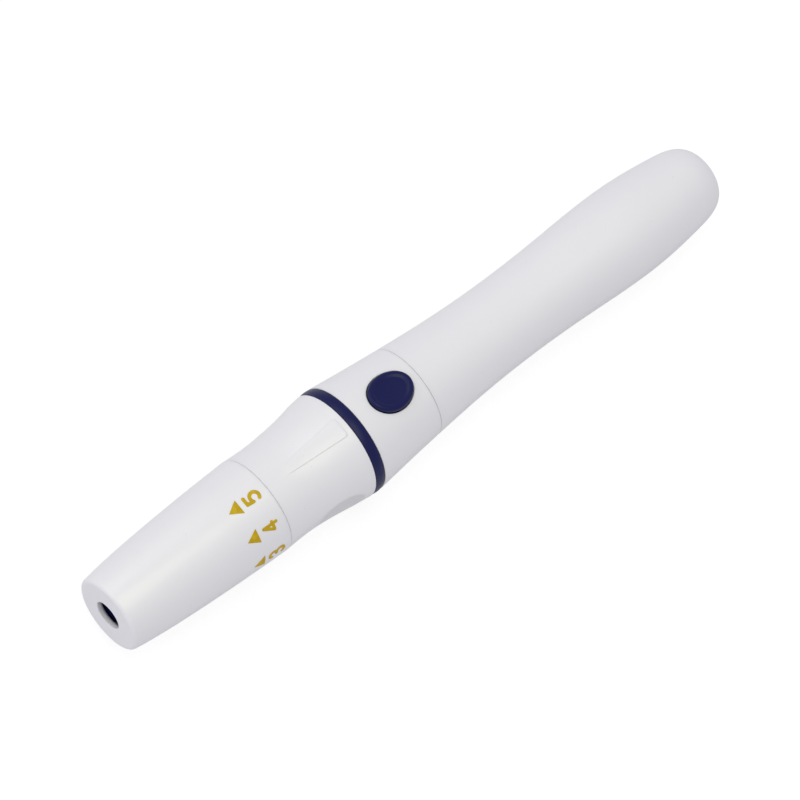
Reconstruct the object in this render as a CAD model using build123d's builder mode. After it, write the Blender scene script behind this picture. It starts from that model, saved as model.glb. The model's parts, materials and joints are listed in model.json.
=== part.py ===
from build123d import *
import os

# Lancing device: a pen that pricks a fingertip with a spring-driven lancet.
# All sizes are in millimetres. The pen lies along X with its tip face towards -X and its
# button up. A station is a distance along the pen from the tip face, and a radius or a height
# is measured from the pen's axis.

# Lengths of the outer shells and the gaps between them
dial_length = 28.0
sleeve_length = 15.2
ring_width = 1.7
body_length = 12.1
handle_length = 60.5
seam_gap = 0.3
ring_gap = 0.2

# Radii of the outer shells
tip_rounding = 0.7
dial_front_radius = 6.15
dial_mid_radius = 7.18
dial_rear_radius = 7.83
sleeve_front_radius = 7.79
sleeve_waist_radius = 7.72
sleeve_flare_radius = 8.42
sleeve_rear_radius = 8.88
ring_radius = 8.94
ring_edge_radius = 8.83
body_front_radius = 8.9
body_mid_radius = 8.24
body_rear_radius = 7.66
handle_front_radius = 7.65
handle_neck_radius = 6.98
handle_waist_radius = 6.62
handle_swell_radius = 6.88
handle_bulge_radius = 7.3
handle_shoulder_radius = 6.45
handle_dome_radius = 4.6

# Where the handle's outline takes those radii: shares of its length from its front, and for
# the dome distances before its rear end
handle_neck_share = 0.14
handle_waist_share = 0.322
handle_swell_share = 0.512
handle_bulge_share = 0.73
handle_shoulder_setback = 6.3
handle_dome_setback = 1.2

# Clearances
running_gap = 0.05
free_gap = 0.3
seat_gap = 0.05

# Depth dial, depth stop and the neck that carries them
tip_wall = 1.1
aperture_radius = 2.3
setting_count = 5
setting_angle = 38.0
neck_length = 14.0
neck_radius = 6.3
neck_bore_radius = 4.6
stop_radius = 4.95
stop_skirt_radius = 4.15
stop_hole_radius = 2.0
stop_face = 1.2
stop_length = 7.0
stop_travel = 1.6
tongue_width = 3.0
tongue_engagement = 6.0
retainer_setback = 8.3
retainer_width = 1.1
retainer_inner_radius = 5.8
retainer_outer_radius = 6.75
retainer_split = 3.0

# Click spring: a leaf in a pocket of the neck, with a round nib that drops into a notch
click_setback = 3.3
leaf_length = 4.0
leaf_width = 2.0
leaf_thickness = 0.3
leaf_height = 5.45
nib_radius = 0.7
nib_height = 6.0
nib_length = 2.0
notch_clearance = 0.15

# Printed marks on the dial
mark_gap = 0.01
mark_thickness = 0.06
mark_turn = 2.0
digit_setback = 2.63
digit_height = 2.3
digit_width = 1.35
digit_stroke = 0.5
pointer_setback = 4.84
pointer_length = 2.0
pointer_width = 2.4

# Tapered index panel, raised a little from the sleeve's surface
panel_lift = 0.12
panel_setback = 0.9
panel_length = 11.5
panel_front_width = 1.3
panel_rear_width = 3.2

# Shallow finger recess on each side of the sleeve, cut by a large cylinder
grip_curve_radius = 17.5
grip_side_radius = 7.6
grip_setback = 7.7

# Nose and guide barrel
sleeve_web = 1.7
nose_end_gap = 1.4
nose_radius = 6.6
nose_bore_radius = 5.5
nose_chamfer = 0.4
socket_depth = 1.9
body_bore_radius = 6.5
barrel_radius = 4.6
barrel_wall = 0.75
barrel_reach = 5.7
barrel_overhang = 28.2
barrel_web = 1.0

# Release button
button_front_margin = 3.15
button_rear_margin = 1.35
button_width = 6.05
button_proud = 0.7
button_wall = 0.9
button_roof = 0.9
button_rim = 0.9
button_dish = 0.2
button_rounding = 0.35
button_hole_gap = 0.12
button_travel = 0.8
lip_setback = 0.6
lip_overhang = 0.75
lip_thickness = 0.5
stem_share = 0.27
stem_width = 2.4
button_spring_share = 0.0756
button_spring_wire = 0.22
button_spring_turns = 5

# Plunger, lancet holder and their springs
draw_travel = 6.5
rod_radius = 1.5
plunger_radius = 3.75
latch_length = 2.4
latch_width = 2.4
latch_top = 3.55
latch_height = 1.9
latch_thickness = 1.0
latch_slot = 0.5
latch_arm = 5.0
window_gap = 0.15
window_width = 3.0
holder_reach = 11.0
holder_length = 13.0
holder_bore_radius = 3.15
holder_bore_depth = 9.5
holder_floor = 0.5
holder_slit = 0.8
holder_slit_length = 7.0
collar_thickness = 1.2
return_spring_length = 7.8
return_spring_radius = 2.4
return_spring_wire = 0.5
return_spring_turns = 5
drive_spring_radius = 3.05
drive_spring_wire = 0.7
drive_spring_turns = 9

# Barrel end plug and washer
spigot_length = 2.0
plug_flange_radius = 5.2
plug_flange_thickness = 1.6
washer_thickness = 0.4
washer_bore_radius = 1.8

# Rear handle, its puller and spring
guide_setback = 2.2
guide_length = 6.0
handle_mouth_radius = 5.9
handle_bore_radius = 5.4
handle_cavity_radius = 4.9
handle_cavity_end = 6.8
handle_cone_radius = 3.0
handle_end_wall = 3.1
handle_spring_radius = 5.0
handle_spring_wire = 0.45
handle_spring_turns = 8
puller_setback = 1.3
puller_wall = 1.2
puller_length = 10.0
puller_bore_radius = 4.4
clip_gap = 0.2
clip_thickness = 0.7
clip_radius = 2.7
clip_groove_radius = 1.1
clip_mouth = 1.9
rod_end = 1.2

# Stations of the outer shells
sleeve_front = dial_length + seam_gap
sleeve_rear = sleeve_front + sleeve_length
ring_front = sleeve_rear + ring_gap
ring_rear = ring_front + ring_width
body_rear = ring_rear + body_length
handle_front = body_rear + seam_gap
pen_length = handle_front + handle_length

# Stations inside the cap
neck_front = sleeve_front - neck_length
dial_step = neck_front - free_gap
stop_front = tip_wall + free_gap
tongue_rear = neck_front + tongue_engagement
tongue_slot_rear = tongue_rear + stop_travel + free_gap
retainer_station = sleeve_front - retainer_setback
click_station = sleeve_front - click_setback
sleeve_bore_front = sleeve_front + sleeve_web
nose_front = sleeve_bore_front + nose_end_gap

# Stations and heights around the button
button_length = body_length - button_front_margin - button_rear_margin
button_station = ring_rear + button_front_margin + button_length / 2
lip_length = button_length - 2 * lip_setback
stem_length = stem_share * button_length
button_spring_radius = button_spring_share * button_length
button_spring_offset = (stem_length / 2 + button_length / 2 - button_wall) / 2
lip_outer_radius = body_bore_radius - 2 * running_gap
lip_inner_radius = lip_outer_radius - lip_thickness
stem_height = barrel_radius + seat_gap
nose_rear = button_station - button_length / 2 - free_gap
body_web_front = button_station + button_length / 2 + free_gap
roof_height = body_rear_radius + button_proud - button_roof

# Stations inside the barrel
barrel_bore_radius = barrel_radius - barrel_wall
barrel_front = ring_front - barrel_reach
barrel_rear = handle_front + barrel_overhang
holder_front = barrel_front - holder_reach
holder_rear = holder_front + holder_length
latch_station = button_station - draw_travel
latch_rear = latch_station + latch_length / 2
plunger_block_rear = latch_rear + free_gap
barrel_web_front = plunger_block_rear + draw_travel + free_gap
rod_hole_radius = rod_radius + 2 * running_gap
barrel_web_rear = barrel_web_front + barrel_web
collar_front = barrel_web_rear + return_spring_length
collar_rear = collar_front + collar_thickness
spigot_front = barrel_rear - spigot_length
washer_front = spigot_front - washer_thickness - seat_gap
plug_rear = barrel_rear + plug_flange_thickness

# Stations inside the handle
guide_front = handle_front + guide_setback
guide_rear = guide_front + guide_length
puller_front = plug_rear + puller_setback
puller_rear = puller_front + puller_length
clip_front = puller_front + puller_wall + clip_gap
clip_rear = clip_front + clip_thickness
rod_rear = clip_rear + rod_end

# The pen rests on its ring, so the axis lies one ring radius above the ground
tip_x = -pen_length / 2
axis_height = ring_radius
pen_side = Plane(origin=(tip_x, 0, axis_height), x_dir=(1, 0, 0), z_dir=(0, -1, 0))
pen_axis = Axis((tip_x, 0, axis_height), (1, 0, 0))


def across(station):
    """Plane square to the pen at a station, with its x towards +Y and its y up."""
    return Plane(origin=(tip_x + station, 0, axis_height), x_dir=(0, 1, 0), z_dir=(1, 0, 0))


def above(station, height):
    """Level plane at a height over the axis, with its x along the pen."""
    return Plane(origin=(tip_x + station, 0, axis_height + height), x_dir=(1, 0, 0), z_dir=(0, 0, 1))


def tube(front, rear, outer, inner=0.0, mode=Mode.ADD):
    """Round tube or rod on the pen's axis, from one station to the next."""
    with BuildSketch(across(front)) as section:
        Circle(outer)
        if inner > 0:
            Circle(inner, mode=Mode.SUBTRACT)
    extrude(section.sketch, amount=rear - front, mode=mode)


def block(front, rear, low, high, width, mode=Mode.ADD):
    """Box between two stations and two heights, centred on the pen's middle plane."""
    with BuildSketch(above(front, low)) as footprint:
        Rectangle(rear - front, width, align=(Align.MIN, Align.CENTER))
    extrude(footprint.sketch, amount=high - low, mode=mode)


def coil(front, rear, mean_radius, wire, turns):
    """Coil spring on the pen's axis: round wire swept along a helix between two seats."""
    height = rear - front - wire
    with BuildLine() as route:
        Helix(
            pitch=height / turns,
            height=height,
            radius=mean_radius,
            center=(tip_x + front + wire / 2, 0, axis_height),
            direction=(1, 0, 0),
        )
    with BuildSketch(Plane(origin=route.line @ 0, z_dir=route.line % 0)) as section:
        Circle(wire / 2)
    sweep(section.sketch, path=route.line, is_frenet=True)


def dial_outline(lift=0.0):
    """Outer line of the dial behind its rounded tip, raised by a lift."""
    return Spline(
        (tip_rounding, dial_front_radius + lift),
        (dial_length * 0.43, dial_mid_radius + lift),
        (dial_length, dial_rear_radius + lift),
        tangents=[(1, 0.14), (1, 0.02)],
    )


def sleeve_outline(lift=0.0):
    """Outer line of the sleeve: a shallow waist that flares towards the ring."""
    return Spline(
        (sleeve_front, sleeve_front_radius + lift),
        (sleeve_front + sleeve_length * 0.35, sleeve_waist_radius + lift),
        (sleeve_front + sleeve_length * 0.74, sleeve_flare_radius + lift),
        (sleeve_rear, sleeve_rear_radius + lift),
    )


def body_outline(lift=0.0):
    """Outer line of the front body: it narrows from the ring to the handle."""
    return Spline(
        (ring_rear, body_front_radius + lift),
        (ring_rear + body_length * 0.5, body_mid_radius + lift),
        (body_rear, body_rear_radius + lift),
    )


def setting_plane(number, station):
    """Plane under the dial's skin at one setting, facing outward, with its y towards the tip."""
    turn = number * setting_angle + mark_turn
    outward = Vector(0, 0, 1).rotate(Axis.X, turn)
    sideways = Vector(0, 1, 0).rotate(Axis.X, turn)
    centre = Vector(tip_x + station, 0, axis_height) + outward * neck_radius
    return Plane(origin=centre, x_dir=sideways, z_dir=outward)


def digit_strokes(digit):
    """Pen strokes of one digit, in a box around the origin."""
    left, right = -digit_width / 2, digit_width / 2
    low, high = -digit_height / 2, digit_height / 2
    waist = 0.1
    with BuildLine() as path:
        if digit == 5:
            Polyline((right, high), (left * 0.8, high), (left, waist))
            ThreePointArc((left, waist), (right, low + 0.65), (left, low + 0.15))
        if digit == 4:
            Polyline((right * 0.5, high), (left, low + 0.65), (right, low + 0.65))
        if digit == 3:
            ThreePointArc((left, high - 0.2), (right * 0.85, high - 0.57), (left * 0.2, waist))
            ThreePointArc((left * 0.2, waist), (right, low + 0.65), (left, low + 0.2))
        if digit == 2:
            ThreePointArc((left, high - 0.45), (right * 0.5, high - 0.02), (right * 0.7, high - 1.05))
            Polyline((right * 0.7, high - 1.05), (left, low), (right, low))
        if digit == 1:
            Polyline((left * 0.6, high - 0.45), (0, high), (0, low))
    with BuildLine() as stem:
        if digit == 4:
            Line((right * 0.5, high), (right * 0.5, low))
    return path.wires() + stem.wires()


os.makedirs("parts", exist_ok=True)

# Depth dial: the turning tip shell
with BuildPart() as depth_dial:
    dial_bore = neck_radius + running_gap
    thread_bore = stop_radius + running_gap
    with BuildSketch(pen_side):
        with BuildLine():
            face = Line((0, aperture_radius), (0, dial_front_radius - tip_rounding))
            RadiusArc(face @ 1, (tip_rounding, dial_front_radius), tip_rounding)
            side = dial_outline()
            Polyline(
                side @ 1,
                (dial_length, dial_bore),
                (dial_step, dial_bore),
                (dial_step, thread_bore),
                (tip_wall, thread_bore),
                (tip_wall, aperture_radius),
                face @ 0,
            )
        make_face()
    revolve(axis=pen_axis)
    tube(
        retainer_station - retainer_width / 2 - running_gap,
        retainer_station + retainer_width / 2 + running_gap,
        retainer_outer_radius + 2 * running_gap,
        mode=Mode.SUBTRACT,
    )
    with BuildSketch(across(click_station - nib_length / 2 - notch_clearance)):
        with PolarLocations(nib_height, setting_count, 90, (setting_count - 1) * setting_angle, endpoint=True):
            Circle(nib_radius + notch_clearance)
    extrude(amount=nib_length + 2 * notch_clearance, mode=Mode.SUBTRACT)
depth_dial.part.label = "depth_dial"
export_step(depth_dial.part, "parts/depth_dial.step")

# Marks on the dial: a number for each setting, with a pointer between it and the tip
with BuildPart() as dial_marks:
    for number in range(setting_count):
        with BuildSketch(setting_plane(number, dial_length - digit_setback)):
            for stroke in digit_strokes(setting_count - number):
                SlotArc(stroke, digit_stroke)
        extrude(amount=2 * (dial_rear_radius - neck_radius))
        with BuildSketch(setting_plane(number, dial_length - pointer_setback)):
            with BuildLine():
                Polyline(
                    (-pointer_width / 2, 0),
                    (pointer_width / 2, 0),
                    (0, pointer_length),
                    close=True,
                )
            make_face()
        extrude(amount=2 * (dial_rear_radius - neck_radius))
    with BuildSketch(pen_side):
        with BuildLine():
            inner_line = dial_outline(mark_gap)
            outer_line = dial_outline(mark_gap + mark_thickness)
            Line(inner_line @ 0, outer_line @ 0)
            Line(inner_line @ 1, outer_line @ 1)
        make_face()
    revolve(axis=pen_axis, mode=Mode.INTERSECT)
dial_marks.part.label = "dial_marks"
export_step(dial_marks.part, "parts/dial_marks.step")

# Depth stop: a cup behind the needle hole, with two tongues that keep it from turning
with BuildPart() as depth_stop:
    tube(stop_front, stop_front + stop_length, stop_radius, stop_skirt_radius)
    tube(stop_front, stop_front + stop_face, stop_radius, stop_hole_radius)
    with BuildSketch(across(stop_front + stop_face)):
        Rectangle(2 * stop_radius, tongue_width)
        Circle(stop_radius, mode=Mode.INTERSECT)
        Circle(stop_skirt_radius, mode=Mode.SUBTRACT)
    extrude(amount=tongue_rear - stop_front - stop_face)
depth_stop.part.label = "depth_stop"
export_step(depth_stop.part, "parts/depth_stop.step")

# Index panel: a tapered prism, cut down to a thin skin over the sleeve
with BuildPart() as index_panel:
    with BuildSketch(above(sleeve_rear - panel_setback, sleeve_front_radius / 2)):
        with BuildLine():
            Polyline(
                (0, -panel_rear_width / 2),
                (0, panel_rear_width / 2),
                (-panel_length, panel_front_width / 2),
                (-panel_length, -panel_front_width / 2),
                close=True,
            )
        make_face()
    extrude(amount=sleeve_rear_radius)
    with BuildSketch(pen_side):
        with BuildLine():
            inner_line = sleeve_outline(-2 * panel_lift)
            outer_line = sleeve_outline(panel_lift)
            Line(inner_line @ 0, outer_line @ 0)
            Line(inner_line @ 1, outer_line @ 1)
        make_face()
    revolve(axis=pen_axis, mode=Mode.INTERSECT)

# Cap sleeve: the flared outer shell with the neck that carries the dial
with BuildPart() as cap_sleeve:
    with BuildSketch(pen_side):
        with BuildLine():
            side = sleeve_outline()
            Polyline(
                side @ 1,
                (sleeve_rear, nose_radius + running_gap),
                (sleeve_bore_front, nose_radius + running_gap),
                (sleeve_bore_front, neck_bore_radius),
                (neck_front, neck_bore_radius),
                (neck_front, neck_radius),
                (sleeve_front, neck_radius),
                side @ 0,
            )
        make_face()
    revolve(axis=pen_axis)
    with BuildSketch(above(sleeve_rear - grip_setback, -ring_radius)):
        for side_way in (-1, 1):
            with Locations((0, side_way * (grip_side_radius + grip_curve_radius))):
                Circle(grip_curve_radius)
    extrude(amount=2 * ring_radius, mode=Mode.SUBTRACT)
    with BuildSketch(across(neck_front)):
        Rectangle(2 * stop_radius + 2 * running_gap, tongue_width + 2 * running_gap)
        Circle(stop_radius + running_gap, mode=Mode.INTERSECT)
    extrude(amount=tongue_slot_rear - neck_front, mode=Mode.SUBTRACT)
    tube(
        retainer_station - retainer_width / 2 - running_gap,
        retainer_station + retainer_width / 2 + running_gap,
        2 * neck_radius,
        retainer_inner_radius - running_gap,
        mode=Mode.SUBTRACT,
    )
    block(
        click_station - leaf_length / 2 - running_gap,
        click_station + leaf_length / 2 + running_gap,
        leaf_height - running_gap,
        neck_radius + free_gap,
        leaf_width + 2 * running_gap,
        mode=Mode.SUBTRACT,
    )
    add(index_panel.part)
cap_sleeve.part.label = "cap_sleeve"
export_step(cap_sleeve.part, "parts/cap_sleeve.step")

# Click spring: a leaf with a nib across it, lying in the neck's pocket
with BuildPart() as click_spring:
    block(
        click_station - leaf_length / 2,
        click_station + leaf_length / 2,
        leaf_height,
        leaf_height + leaf_thickness,
        leaf_width,
    )
    with BuildSketch(across(click_station - nib_length / 2)):
        with Locations((0, nib_height)):
            Circle(nib_radius)
        with Locations((0, leaf_height)):
            Rectangle(2 * nib_radius, nib_radius, align=(Align.CENTER, Align.MAX), mode=Mode.SUBTRACT)
    extrude(amount=nib_length)
click_spring.part.label = "click_spring"
export_step(click_spring.part, "parts/click_spring.step")

# Dial retainer: a split ring that sits in the neck's groove and in the dial's
with BuildPart() as dial_retainer:
    with BuildSketch(across(retainer_station - retainer_width / 2)):
        Circle(retainer_outer_radius)
        Circle(retainer_inner_radius, mode=Mode.SUBTRACT)
        with Locations((0, -retainer_outer_radius)):
            Rectangle(retainer_split, retainer_outer_radius, mode=Mode.SUBTRACT)
    extrude(amount=retainer_width)
dial_retainer.part.label = "dial_retainer"
export_step(dial_retainer.part, "parts/dial_retainer.step")

# Accent ring: crowned, at the widest place of the pen
with BuildPart() as accent_ring:
    with BuildSketch(pen_side):
        with BuildLine():
            crown = ThreePointArc(
                (ring_front, ring_edge_radius),
                ((ring_front + ring_rear) / 2, ring_radius),
                (ring_rear, ring_edge_radius),
            )
            Polyline(
                crown @ 1,
                (ring_rear, nose_radius + seat_gap),
                (ring_front, nose_radius + seat_gap),
                crown @ 0,
            )
        make_face()
    revolve(axis=pen_axis)
accent_ring.part.label = "accent_ring"
export_step(accent_ring.part, "parts/accent_ring.step")

# Nose collar: the cap pushes onto its front, and its rear is fixed in the front body
with BuildPart() as nose_collar:
    tube(nose_front, ring_rear, nose_radius, nose_bore_radius)
    tube(ring_rear, nose_rear, body_bore_radius - seat_gap, nose_bore_radius)
    tube(nose_rear - socket_depth, nose_rear, body_bore_radius - seat_gap, barrel_radius + seat_gap)
    front_edges = nose_collar.edges().group_by(Axis.X)[0].filter_by(GeomType.CIRCLE)
    chamfer(front_edges.sort_by(SortBy.RADIUS)[-1], nose_chamfer)
nose_collar.part.label = "nose_collar"
export_step(nose_collar.part, "parts/nose_collar.step")

# Front body: the shell behind the ring, with the oval hole for the button
with BuildPart() as front_body:
    with BuildSketch(pen_side):
        with BuildLine():
            side = body_outline()
            Polyline(
                side @ 1,
                (body_rear, barrel_radius + seat_gap),
                (body_web_front, barrel_radius + seat_gap),
                (body_web_front, body_bore_radius),
                (ring_rear, body_bore_radius),
                side @ 0,
            )
        make_face()
    revolve(axis=pen_axis)
    with BuildSketch(above(button_station, barrel_radius)):
        Ellipse(button_length / 2 + button_hole_gap, button_width / 2 + button_hole_gap)
    extrude(amount=body_front_radius, mode=Mode.SUBTRACT)
front_body.part.label = "front_body"
export_step(front_body.part, "parts/front_body.step")

# Lip of the button: a curved flange that holds it under the wall of the front body
with BuildPart() as button_lip:
    lip_front = button_station - lip_length / 2
    tube(lip_front, lip_front + lip_length, lip_outer_radius, lip_inner_radius)
    block(
        lip_front,
        lip_front + lip_length,
        0,
        lip_outer_radius,
        button_width + 2 * lip_overhang,
        mode=Mode.INTERSECT,
    )

# Dish of the button: what is taken out of its top inside the rim
with BuildPart() as dish:
    with BuildSketch(above(button_station, roof_height)):
        Ellipse(button_length / 2 - button_rim, button_width / 2 - button_rim)
    extrude(amount=body_front_radius)
    with BuildSketch(pen_side):
        with BuildLine():
            floor_line = body_outline(button_proud - button_dish)
            Polyline(floor_line @ 1, (body_rear, 0), (ring_rear, 0), floor_line @ 0)
        make_face()
    revolve(axis=pen_axis, mode=Mode.SUBTRACT)

# Release button: an oval cap with a dished top, and a stem that reaches down to the latch
with BuildPart() as release_button:
    with BuildSketch(above(button_station, 0)):
        Ellipse(button_length / 2, button_width / 2)
    extrude(amount=body_front_radius + 2 * button_proud)
    with BuildSketch(pen_side):
        with BuildLine():
            crown = body_outline(button_proud)
            Polyline(crown @ 1, (body_rear, 0), (ring_rear, 0), crown @ 0)
        make_face()
    revolve(axis=pen_axis, mode=Mode.INTERSECT)
    fillet(release_button.edges().group_by(Axis.Z)[-1], button_rounding)
    add(dish.part, mode=Mode.SUBTRACT)
    tube(ring_rear, body_rear, lip_inner_radius, mode=Mode.SUBTRACT)
    add(button_lip.part)
    with BuildSketch(above(button_station, 0)):
        Ellipse(button_length / 2 - button_wall, button_width / 2 - button_wall)
    extrude(amount=roof_height, mode=Mode.SUBTRACT)
    block(
        button_station - stem_length / 2,
        button_station + stem_length / 2,
        stem_height,
        roof_height,
        stem_width,
    )
release_button.part.label = "release_button"
export_step(release_button.part, "parts/release_button.step")

# Button spring: a small upright coil between the barrel and the button's roof
with BuildPart() as button_spring:
    spring_base = stem_height + button_spring_wire / 2
    spring_height = roof_height - seat_gap - stem_height - button_spring_wire
    with BuildLine():
        route = Helix(
            pitch=spring_height / button_spring_turns,
            height=spring_height,
            radius=button_spring_radius,
            center=(tip_x + button_station + button_spring_offset, 0, axis_height + spring_base),
        )
    with BuildSketch(Plane(origin=route @ 0, z_dir=route % 0)):
        Circle(button_spring_wire / 2)
    sweep(path=route, is_frenet=True)
button_spring.part.label = "button_spring"
export_step(button_spring.part, "parts/button_spring.step")

# Guide barrel: one tube with a web for the rod, moulded as an upper and a lower half
with BuildPart() as barrel:
    tube(barrel_front, barrel_rear, barrel_radius, barrel_bore_radius)
    tube(barrel_web_front, barrel_web_rear, barrel_radius, rod_hole_radius)
    block(
        button_station - latch_length / 2 - window_gap,
        button_station + latch_length / 2 + window_gap,
        0,
        2 * barrel_radius,
        window_width,
        mode=Mode.SUBTRACT,
    )

with BuildPart() as barrel_upper:
    add(barrel.part)
    split(bisect_by=Plane.XY.offset(axis_height), keep=Keep.TOP)
barrel_upper.part.label = "barrel_upper"
export_step(barrel_upper.part, "parts/barrel_upper.step")

with BuildPart() as barrel_lower:
    add(barrel.part)
    split(bisect_by=Plane.XY.offset(axis_height), keep=Keep.BOTTOM)
barrel_lower.part.label = "barrel_lower"
export_step(barrel_lower.part, "parts/barrel_lower.step")

# End plug: closes the barrel, and its flange is the rear seat of the handle spring
with BuildPart() as barrel_end_plug:
    tube(spigot_front, barrel_rear, barrel_bore_radius - seat_gap, rod_hole_radius)
    tube(barrel_rear, plug_rear, plug_flange_radius, rod_hole_radius)
barrel_end_plug.part.label = "barrel_end_plug"
export_step(barrel_end_plug.part, "parts/barrel_end_plug.step")

# Spring washer: between the drive spring and the end plug
with BuildPart() as spring_washer:
    tube(
        washer_front,
        washer_front + washer_thickness,
        barrel_bore_radius - running_gap,
        washer_bore_radius,
    )
spring_washer.part.label = "spring_washer"
export_step(spring_washer.part, "parts/spring_washer.step")

# Plunger: rod, spring collar and front block with the springy latch arm
with BuildPart() as plunger:
    arm_front = latch_rear - latch_arm
    arm_low = latch_top - latch_height
    tube(holder_front + holder_bore_depth + holder_floor, rod_rear, rod_radius)
    tube(holder_rear, plunger_block_rear, plunger_radius)
    tube(collar_front, collar_rear, plunger_radius)
    block(
        arm_front,
        plunger_block_rear,
        arm_low - latch_slot,
        plunger_radius,
        latch_width + 2 * latch_slot,
        mode=Mode.SUBTRACT,
    )
    block(arm_front, latch_rear, arm_low, arm_low + latch_thickness, latch_width)
    block(latch_rear - latch_length, latch_rear, arm_low, latch_top, latch_width)
    tube(clip_front - seat_gap, clip_rear + seat_gap, 2 * rod_radius, clip_groove_radius, mode=Mode.SUBTRACT)
plunger.part.label = "plunger"
export_step(plunger.part, "parts/plunger.step")

# Lancet holder: a slit cup whose four fingers grip the lancet
with BuildPart() as lancet_holder:
    tube(holder_front, holder_rear, plunger_radius, rod_radius + seat_gap)
    tube(holder_front, holder_front + holder_bore_depth, holder_bore_radius, mode=Mode.SUBTRACT)
    slit_rear = holder_front + holder_slit_length
    block(holder_front, slit_rear, -plunger_radius, plunger_radius, holder_slit, mode=Mode.SUBTRACT)
    block(holder_front, slit_rear, -holder_slit / 2, holder_slit / 2, 2 * plunger_radius, mode=Mode.SUBTRACT)
lancet_holder.part.label = "lancet_holder"
export_step(lancet_holder.part, "parts/lancet_holder.step")

# Rod clip: pushed sideways into the rod's groove, behind the wall of the puller
with BuildPart() as rod_clip:
    with BuildSketch(across(clip_front)):
        Circle(clip_radius)
        Circle(clip_groove_radius + seat_gap, mode=Mode.SUBTRACT)
        with Locations((0, -clip_radius / 2)):
            Rectangle(clip_mouth, clip_radius, mode=Mode.SUBTRACT)
    extrude(amount=clip_thickness)
rod_clip.part.label = "rod_clip"
export_step(rod_clip.part, "parts/rod_clip.step")

# Return spring: draws the plunger back from its collar after the strike
with BuildPart() as return_spring:
    coil(
        barrel_web_rear + seat_gap,
        collar_front - seat_gap,
        return_spring_radius,
        return_spring_wire,
        return_spring_turns,
    )
return_spring.part.label = "return_spring"
export_step(return_spring.part, "parts/return_spring.step")

# Drive spring: throws the plunger forward
with BuildPart() as drive_spring:
    coil(
        collar_rear + seat_gap,
        washer_front - seat_gap,
        drive_spring_radius,
        drive_spring_wire,
        drive_spring_turns,
    )
drive_spring.part.label = "drive_spring"
export_step(drive_spring.part, "parts/drive_spring.step")

# Handle spring: pushes the handle forward against the front body
with BuildPart() as handle_spring:
    coil(
        guide_rear + seat_gap,
        barrel_rear - seat_gap,
        handle_spring_radius,
        handle_spring_wire,
        handle_spring_turns,
    )
handle_spring.part.label = "handle_spring"
export_step(handle_spring.part, "parts/handle_spring.step")

# Handle puller: a cup fixed in the handle, with a slotted wall in front of the rod's clip
with BuildPart() as handle_puller:
    puller_radius = handle_bore_radius - seat_gap
    tube(puller_front, puller_rear, puller_radius, puller_bore_radius)
    tube(puller_front, puller_front + puller_wall, puller_radius, rod_hole_radius)
    block(
        puller_front,
        puller_front + puller_wall,
        -2 * handle_bore_radius,
        0,
        2 * rod_hole_radius,
        mode=Mode.SUBTRACT,
    )
handle_puller.part.label = "handle_puller"
export_step(handle_puller.part, "parts/handle_puller.step")

# Rear handle: the long shell with its waist, bulge and dome, drawn back to arm the pen
with BuildPart() as rear_handle:
    with BuildSketch(pen_side):
        with BuildLine():
            side = Spline(
                (handle_front, handle_front_radius),
                (handle_front + handle_neck_share * handle_length, handle_neck_radius),
                (handle_front + handle_waist_share * handle_length, handle_waist_radius),
                (handle_front + handle_swell_share * handle_length, handle_swell_radius),
                (handle_front + handle_bulge_share * handle_length, handle_bulge_radius),
                (pen_length - handle_shoulder_setback, handle_shoulder_radius),
                (pen_length - handle_dome_setback, handle_dome_radius),
                (pen_length, 0),
                tangents=[(1, -0.09), (0, -1)],
            )
            Polyline(
                side @ 1,
                (pen_length - handle_end_wall, 0),
                (pen_length - handle_end_wall, handle_cone_radius),
                (pen_length - handle_cavity_end, handle_cavity_radius),
                (puller_rear + seat_gap, handle_cavity_radius),
                (puller_rear + seat_gap, handle_bore_radius),
                (guide_rear, handle_bore_radius),
                (guide_rear, barrel_radius + running_gap),
                (guide_front, barrel_radius + running_gap),
                (guide_front, handle_mouth_radius),
                (handle_front, handle_mouth_radius),
                side @ 0,
            )
        make_face()
    revolve(axis=pen_axis)
rear_handle.part.label = "rear_handle"
export_step(rear_handle.part, "parts/rear_handle.step")
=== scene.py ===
# %% [markdown]
# # A lancing pen, from exact solids to a finished look
# The pen pricks a fingertip for a drop of blood. A spring throws a small lancet through the
# hole in the tip, and a numbered dial sets how far it reaches. Its shells are moulded plastic,
# white with a navy ring and button, and the numbers are printed in gold.
# The solids come from a CAD model and stay where they are. This lesson gives them their looks:
# each visible shell becomes a fine surface computed with numpy, and each finish is a small
# network of shader nodes.

# %% Load the fixed frame
import json
import math

import bmesh
import bpy
import numpy as np
from mathutils import Matrix, Vector


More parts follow.
